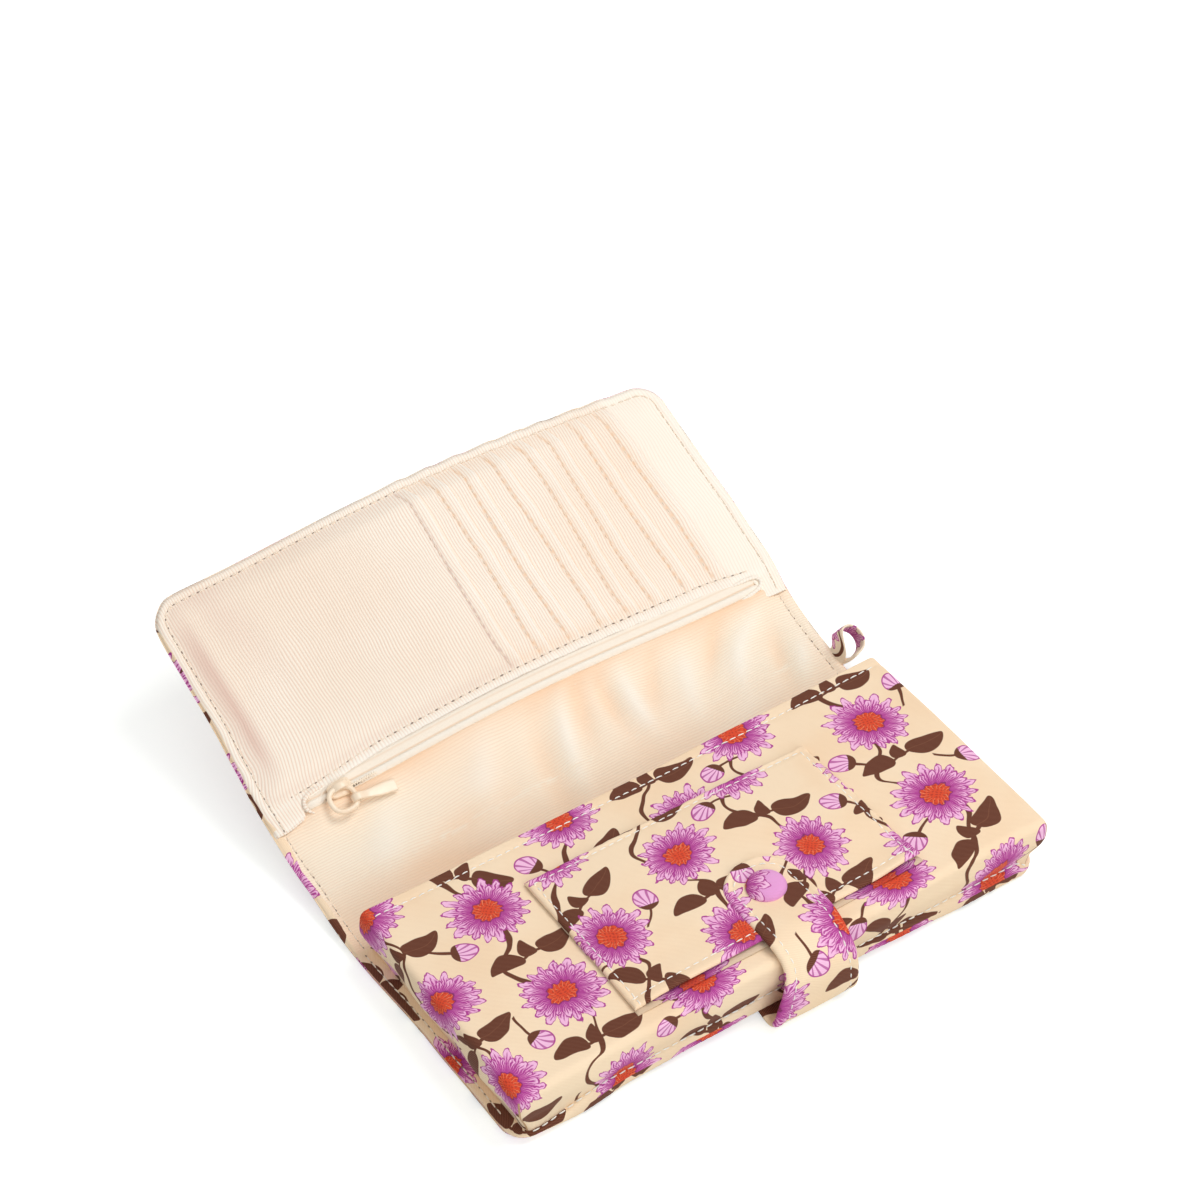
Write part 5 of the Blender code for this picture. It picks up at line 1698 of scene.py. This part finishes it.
settle(Cloth().grid(places, uv).build("cap", PRINT_CAP, 80), "tab_end", "snap_cap")


# Strap loop
LOOP_Q = 99.3
LOOP_HALF = 3.5
LOOP_LINE = curved([
    (86.2, -1.75), (87.4, -1.7), (89.6, -1.3), (92.7, -0.6), (95.6, 0.8), (96.85, 3.4), (96.4, 6.3),
    (94.4, 8.3), (91.9, 8.1), (90.6, 5.9), (90.1, 3.2), (89.7, 0.9), (88.9, -0.7), (87.6, -1.2),
    (86.2, -1.25),
], 8)
path, tangent, at = along_path(LOOP_LINE, 0.5)
shares = np.array((-1, -0.97, -0.9, -0.8, -0.6, -0.3, 0, 0.3, 0.6, 0.8, 0.9, 0.97, 1.0))[None]
normal = np.stack([-tangent[:, 1], tangent[:, 0]], -1)
thick = 0.42 * np.sqrt(np.clip(1 - np.abs(shares) ** 10, 0.02, 1))
thick = thick - 0.08 * bell((np.abs(shares) - 0.78) / 0.07)


def twisted(x, across, n):
    """The loop leaves the seam flat and then twists, so that its opening faces up."""
    share = ramp(88.0, 92.0, x)
    turn = -1.15 * share
    off = n - 4.0 * share
    q = LOOP_Q + across * np.cos(turn) - off * np.sin(turn)
    return spread(x, q, across * np.sin(turn) + off * np.cos(turn) + 3.6 * share)


across = LOOP_HALF * shares + 0 * at[:, None]
outer, inner = (twisted(path[:, :1] + normal[:, :1] * off, across, path[:, 1:] + normal[:, 1:] * off)
                for off in (thick, -thick))
loop = Cloth().solid(outer, inner, uv_of(across, at[:, None])).build("loop", PRINT_LOOP_LIT, 70)
settle(loop, "spine", "strap_loop")


# Stitching

def on_shell(x, q, n):
    """Places and upward directions along a line at a height over the lining."""
    tilt = tilt_at(bowed(x, q))
    return spread(x, q, n), np.stack(np.broadcast_arrays(0 * tilt, -np.sin(tilt), np.cos(tilt)), -1)


def panel_height(x, q):
    level = panel_n(0, x, q)
    for index in range(len(SLOT_EDGES)):
        edge = slot_edge(index, q)
        hem = HEM_RISE * 0.4 * (1 - ramp(3.5, 4.3, edge - x))
        level = np.where(x < edge, panel_n(index + 1, x, q) + hem, level)
    return level


for side, label in SIDES:
    for stretch, start, stop, rider in (
        ("low", 79.0, SPLIT_Q, folded_lower), ("mid", SPLIT_Q, 126.0, folded_upper),
    ):
        q = np.linspace(start, stop, 120)
        x = side * (HALF - EDGE_STITCH) + 0 * q
        places, ups = on_shell(x, q, lining_n(x, q))
        stitches(f"edge_stitches_{label}_{stretch}", places, ups, CREAM_THREAD, rider, holes=0.24)

inner_r = FAR_R - EDGE_STITCH
half_line = [(-(HALF - EDGE_STITCH), q) for q in np.linspace(127, FAR_Q - FAR_R, 60)]
half_line += [(-(HALF - FAR_R) - inner_r * math.cos(t), FAR_Q - FAR_R + inner_r * math.sin(t))
              for t in np.linspace(0, math.pi / 2, 7)[1:]]
across = np.linspace(-(HALF - FAR_R), HALF - FAR_R, 120)[1:-1]
half_line = np.array(half_line)
far_line = np.concatenate([half_line, uv_of(across, FAR_Q - EDGE_STITCH), half_line[::-1] * (-1, 1)])
places, ups = on_shell(*far_line.T, panel_height(*far_line.T))
part_way = 125  # right of this point the photo shows paler needle holes
for name, spots, holes, hole_shade in (
    ("edge_stitches_far", slice(None, part_way), 0.24, HOLE_SHADE),
    ("edge_stitches_far_right", slice(part_way - 1, None), 0.22, SOFT_HOLE_SHADE),
):
    stitches(name, places[spots], ups[spots], CREAM_THREAD, "flap", holes=holes, hole_shade=hole_shade)

x = np.linspace(-78.4, 83.0, 300)
q = ZIP_STITCH_Q + zip_shift(x)
stitches("zip_stitches", *on_shell(x, q, panel_height(x, q)), CREAM_THREAD, "flap", holes=0.3, sink=0.7)

q = np.linspace(ZIP_STITCH_Q + 1.5, FAR_Q - EDGE_STITCH - 1.0, 120)
for index in range(len(SLOT_EDGES)):
    x = slot_edge(index, q) - HEM_W
    places, ups = on_shell(x, q, panel_n(index + 1, x, q) + HEM_RISE * 0.5 - 0.07)
    stitches(f"slot_stitches_{index + 1}", places, ups, PEACH_THREAD, "flap", 0.16, 1.8, sink=1.05)

x = np.linspace(-86.5, 86.5, 200)
line = np.stack([x, MOUTH_STITCH_Y + 0 * x, top_z(x, MOUTH_STITCH_Y) + 0.02], -1)
stitches("mouth_stitches", line, UP, WHITE_THREAD, "base", radius=0.19, sink=0.45)

i_left, j_side, j_near = (int(np.argmin(np.abs(steps - inset))) for steps, inset in (
    (PATCH_SX, 2.1), (PATCH_SY, 2.1), (PATCH_SY, 3.2)))
i_right = len(PATCH_SX) - 1 - i_left
j_far = len(PATCH_SY) - 1 - j_side
line = np.concatenate([
    PATCH_TOP[1:j_far, i_left], PATCH_TOP[j_far, i_left:i_right], PATCH_TOP[j_far:0:-1, i_right],
])
stitches("slip_stitches", line, UP, WHITE_THREAD, "base", radius=0.18, sink=0.45)
stitches("slip_hem_stitches", PATCH_TOP[j_near, 3:-3], UP, WHITE_THREAD, "base", radius=0.18, sink=0.45)


def tab_stitches(name, x, at, rider):
    n = tab_n(x, at)
    leant = TAB_X + tab_lean(x, at)
    here = tab_place(leant, at, n)
    up = tab_place(leant, at, n + 1.0) - here
    stitches(name, here, up, WHITE_THREAD, rider, radius=0.18, length=1.9, sink=0.45)


at = np.linspace(8.0, TAB_SPLIT, 60)
for side, label in SIDES:
    tab_stitches(f"tab_stitches_low_{label}", side * (tab_half(at) - TAB_STITCH), at, blend_tab_lower)
tip_from = TAB_TOTAL - TAB_TIP_R
at = np.linspace(TAB_SPLIT, tip_from, 60)
round_turn = np.linspace(-math.pi / 2, math.pi / 2, 41)[1:-1]
tip_x = (TAB_HALF - TAB_STITCH) * np.sin(round_turn)
tip_at = tip_from + 8.0 * np.cos(round_turn) ** 0.9
side_x = tab_half(at) - TAB_STITCH
tab_stitches("tab_stitches_up", np.concatenate([-side_x, tip_x, side_x[::-1]]),
             np.concatenate([at, tip_at, at[::-1]]), blend_tab_upper)

RIDGE_STITCH_Y = -45.75
x = np.linspace(-84.5, 84.5, 160)
line = np.stack([x, RIDGE_STITCH_Y + 0 * x, near_foot(x) + 0.55], -1)
stitches("ridge_stitches", line, (0, -0.75, 0.66), WHITE_THREAD, "base", radius=0.19, sink=0.45)

FOOT_STITCH_X = 86.9
FOOT_STITCH_Z = 3.42
y = np.linspace(MOUTH_Y - 1, NEAR_Y + 8, 60)
for side, label in SIDES:
    line = np.stack([widened(side * FOOT_STITCH_X + 0 * y, y - NEAR_Y), y, FOOT_STITCH_Z + 0 * y], -1)
    stitches(f"foot_stitches_{label}", line, UP, CREAM_THREAD, "base", holes=0.26)

# Snap
for metal_slot in frame["nodes"]["snap_socket"].material_slots:
    metal_slot.material = METAL

# The stud rises with the arched flap that it is riveted to
stud_node = frame["nodes"]["snap_stud"]
stud_low, stud_high = node_box("snap_stud")
stud_x, stud_y = (stud_low + stud_high)[:2] / 2
stud_q = float(np.interp(stud_y, TABLE_Y, TABLE_Q))
stud = bpy.data.objects.new("stud", stud_node.data.copy())
bpy.context.scene.collection.objects.link(stud)
stud.data.transform(Matrix.Translation((0, 0, float(lift(stud_x, stud_q)) * MM)) @ stud_node.matrix_world)
stud.data.materials.clear()
stud.data.materials.append(METAL)
settle(stud, "flap", "snap_stud")


# Floor, light and camera

FLOOR_GLOW = 0.54
FLOOR_HALF = 3.0
FLOOR_DROP = 0.0002
ROOM_LIGHT = 0.50
SENSOR = 36.0
LENS = 129.58
CAMERA_PLACE = (-0.45297, -0.68770, 0.93295)
CAMERA_AXES = (
    Vector((0.83520819, -0.54921009, -0.02820579)),
    Vector((0.40205245, 0.57481696, 0.71269859)),
    Vector((-0.37520809, -0.60659191, 0.70090309)),
)


def stage_material():
    """A pale floor that the camera sees as white, with the shadow kept."""
    graph = Graph("floor", 0.9, specular=0.1)
    tree = graph.tree
    speck = graph.noise(graph.place(), 60.0, 2.0)
    graph.paint(graph.mix(speck * 0.03, rgb(223, 228, 224), rgb(216, 222, 218)))
    light = graph.node("ShaderNodeLightPath")
    glow = graph.node("ShaderNodeEmission")
    seen = Num(graph, light.outputs["Is Camera Ray"]).max(Num(graph, light.outputs["Is Glossy Ray"]))
    graph.put(glow.inputs["Strength"], seen * FLOOR_GLOW)
    add = graph.node("ShaderNodeAddShader")
    tree.links.new(graph.shader.outputs[0], add.inputs[0])
    tree.links.new(glow.outputs[0], add.inputs[1])
    output = tree.nodes["Material Output"]
    tree.links.new(add.outputs[0], output.inputs["Surface"])
    return graph.material


floor_mesh = bpy.data.meshes.new("floor")
corners = [(a * FLOOR_HALF, b * FLOOR_HALF, 0) for a, b in ((-1, -1), (1, -1), (1, 1), (-1, 1))]
floor_mesh.from_pydata(corners, [], [(0, 1, 2, 3)])
floor = bpy.data.objects.new("floor", floor_mesh)
floor_mesh.materials.append(stage_material())
floor.location.z = -FLOOR_DROP
bpy.context.scene.collection.objects.link(floor)

world = bpy.data.worlds.new("studio")
bpy.context.scene.world = world
world.use_nodes = True
tree = world.node_tree
background = tree.nodes["Background"]
light = tree.nodes.new("ShaderNodeLightPath")
either = tree.nodes.new("ShaderNodeMath")
either.operation = "MAXIMUM"
tree.links.new(light.outputs["Is Camera Ray"], either.inputs[0])
tree.links.new(light.outputs["Is Transmission Ray"], either.inputs[1])
strength = tree.nodes.new("ShaderNodeMapRange")
strength.inputs["To Min"].default_value = ROOM_LIGHT
strength.inputs["To Max"].default_value = 1.0
tree.links.new(either.outputs[0], strength.inputs["Value"])
tree.links.new(strength.outputs["Result"], background.inputs["Strength"])
background.inputs["Color"].default_value = (1.0, 1.0, 1.0, 1.0)


def lamp(name, place, width, power, colour):
    """A round area lamp that points at the wallet's middle."""
    data = bpy.data.lights.new(name, "AREA")
    data.shape = "DISK"
    data.size = width
    data.energy = power
    data.color = colour
    obj = bpy.data.objects.new(name, data)
    obj.location = place
    direction = Vector(MIDDLE) - Vector(place)
    obj.rotation_euler = direction.to_track_quat("-Z", "Y").to_euler()
    bpy.context.scene.collection.objects.link(obj)


MIDDLE = (0.0, 0.05, 0.0)
lamp("key", (0.62, -0.22, 1.3), 0.8, 9.0, (1.0, 0.99, 0.975))
lamp("fill", (-0.1, -1.2, 0.7), 1.0, 5.6, (1.0, 0.99, 0.98))

scene = bpy.context.scene
scene.view_settings.view_transform = "Standard"

camera_data = bpy.data.cameras.new("camera")
camera_data.sensor_width = SENSOR
camera_data.lens = LENS
camera_data.clip_end = 20.0
camera = bpy.data.objects.new("camera", camera_data)
camera.matrix_world = Matrix.Translation(CAMERA_PLACE) @ Matrix(CAMERA_AXES).transposed().to_4x4()
scene.collection.objects.link(camera)
scene.camera = camera

bpy.context.view_layer.update()
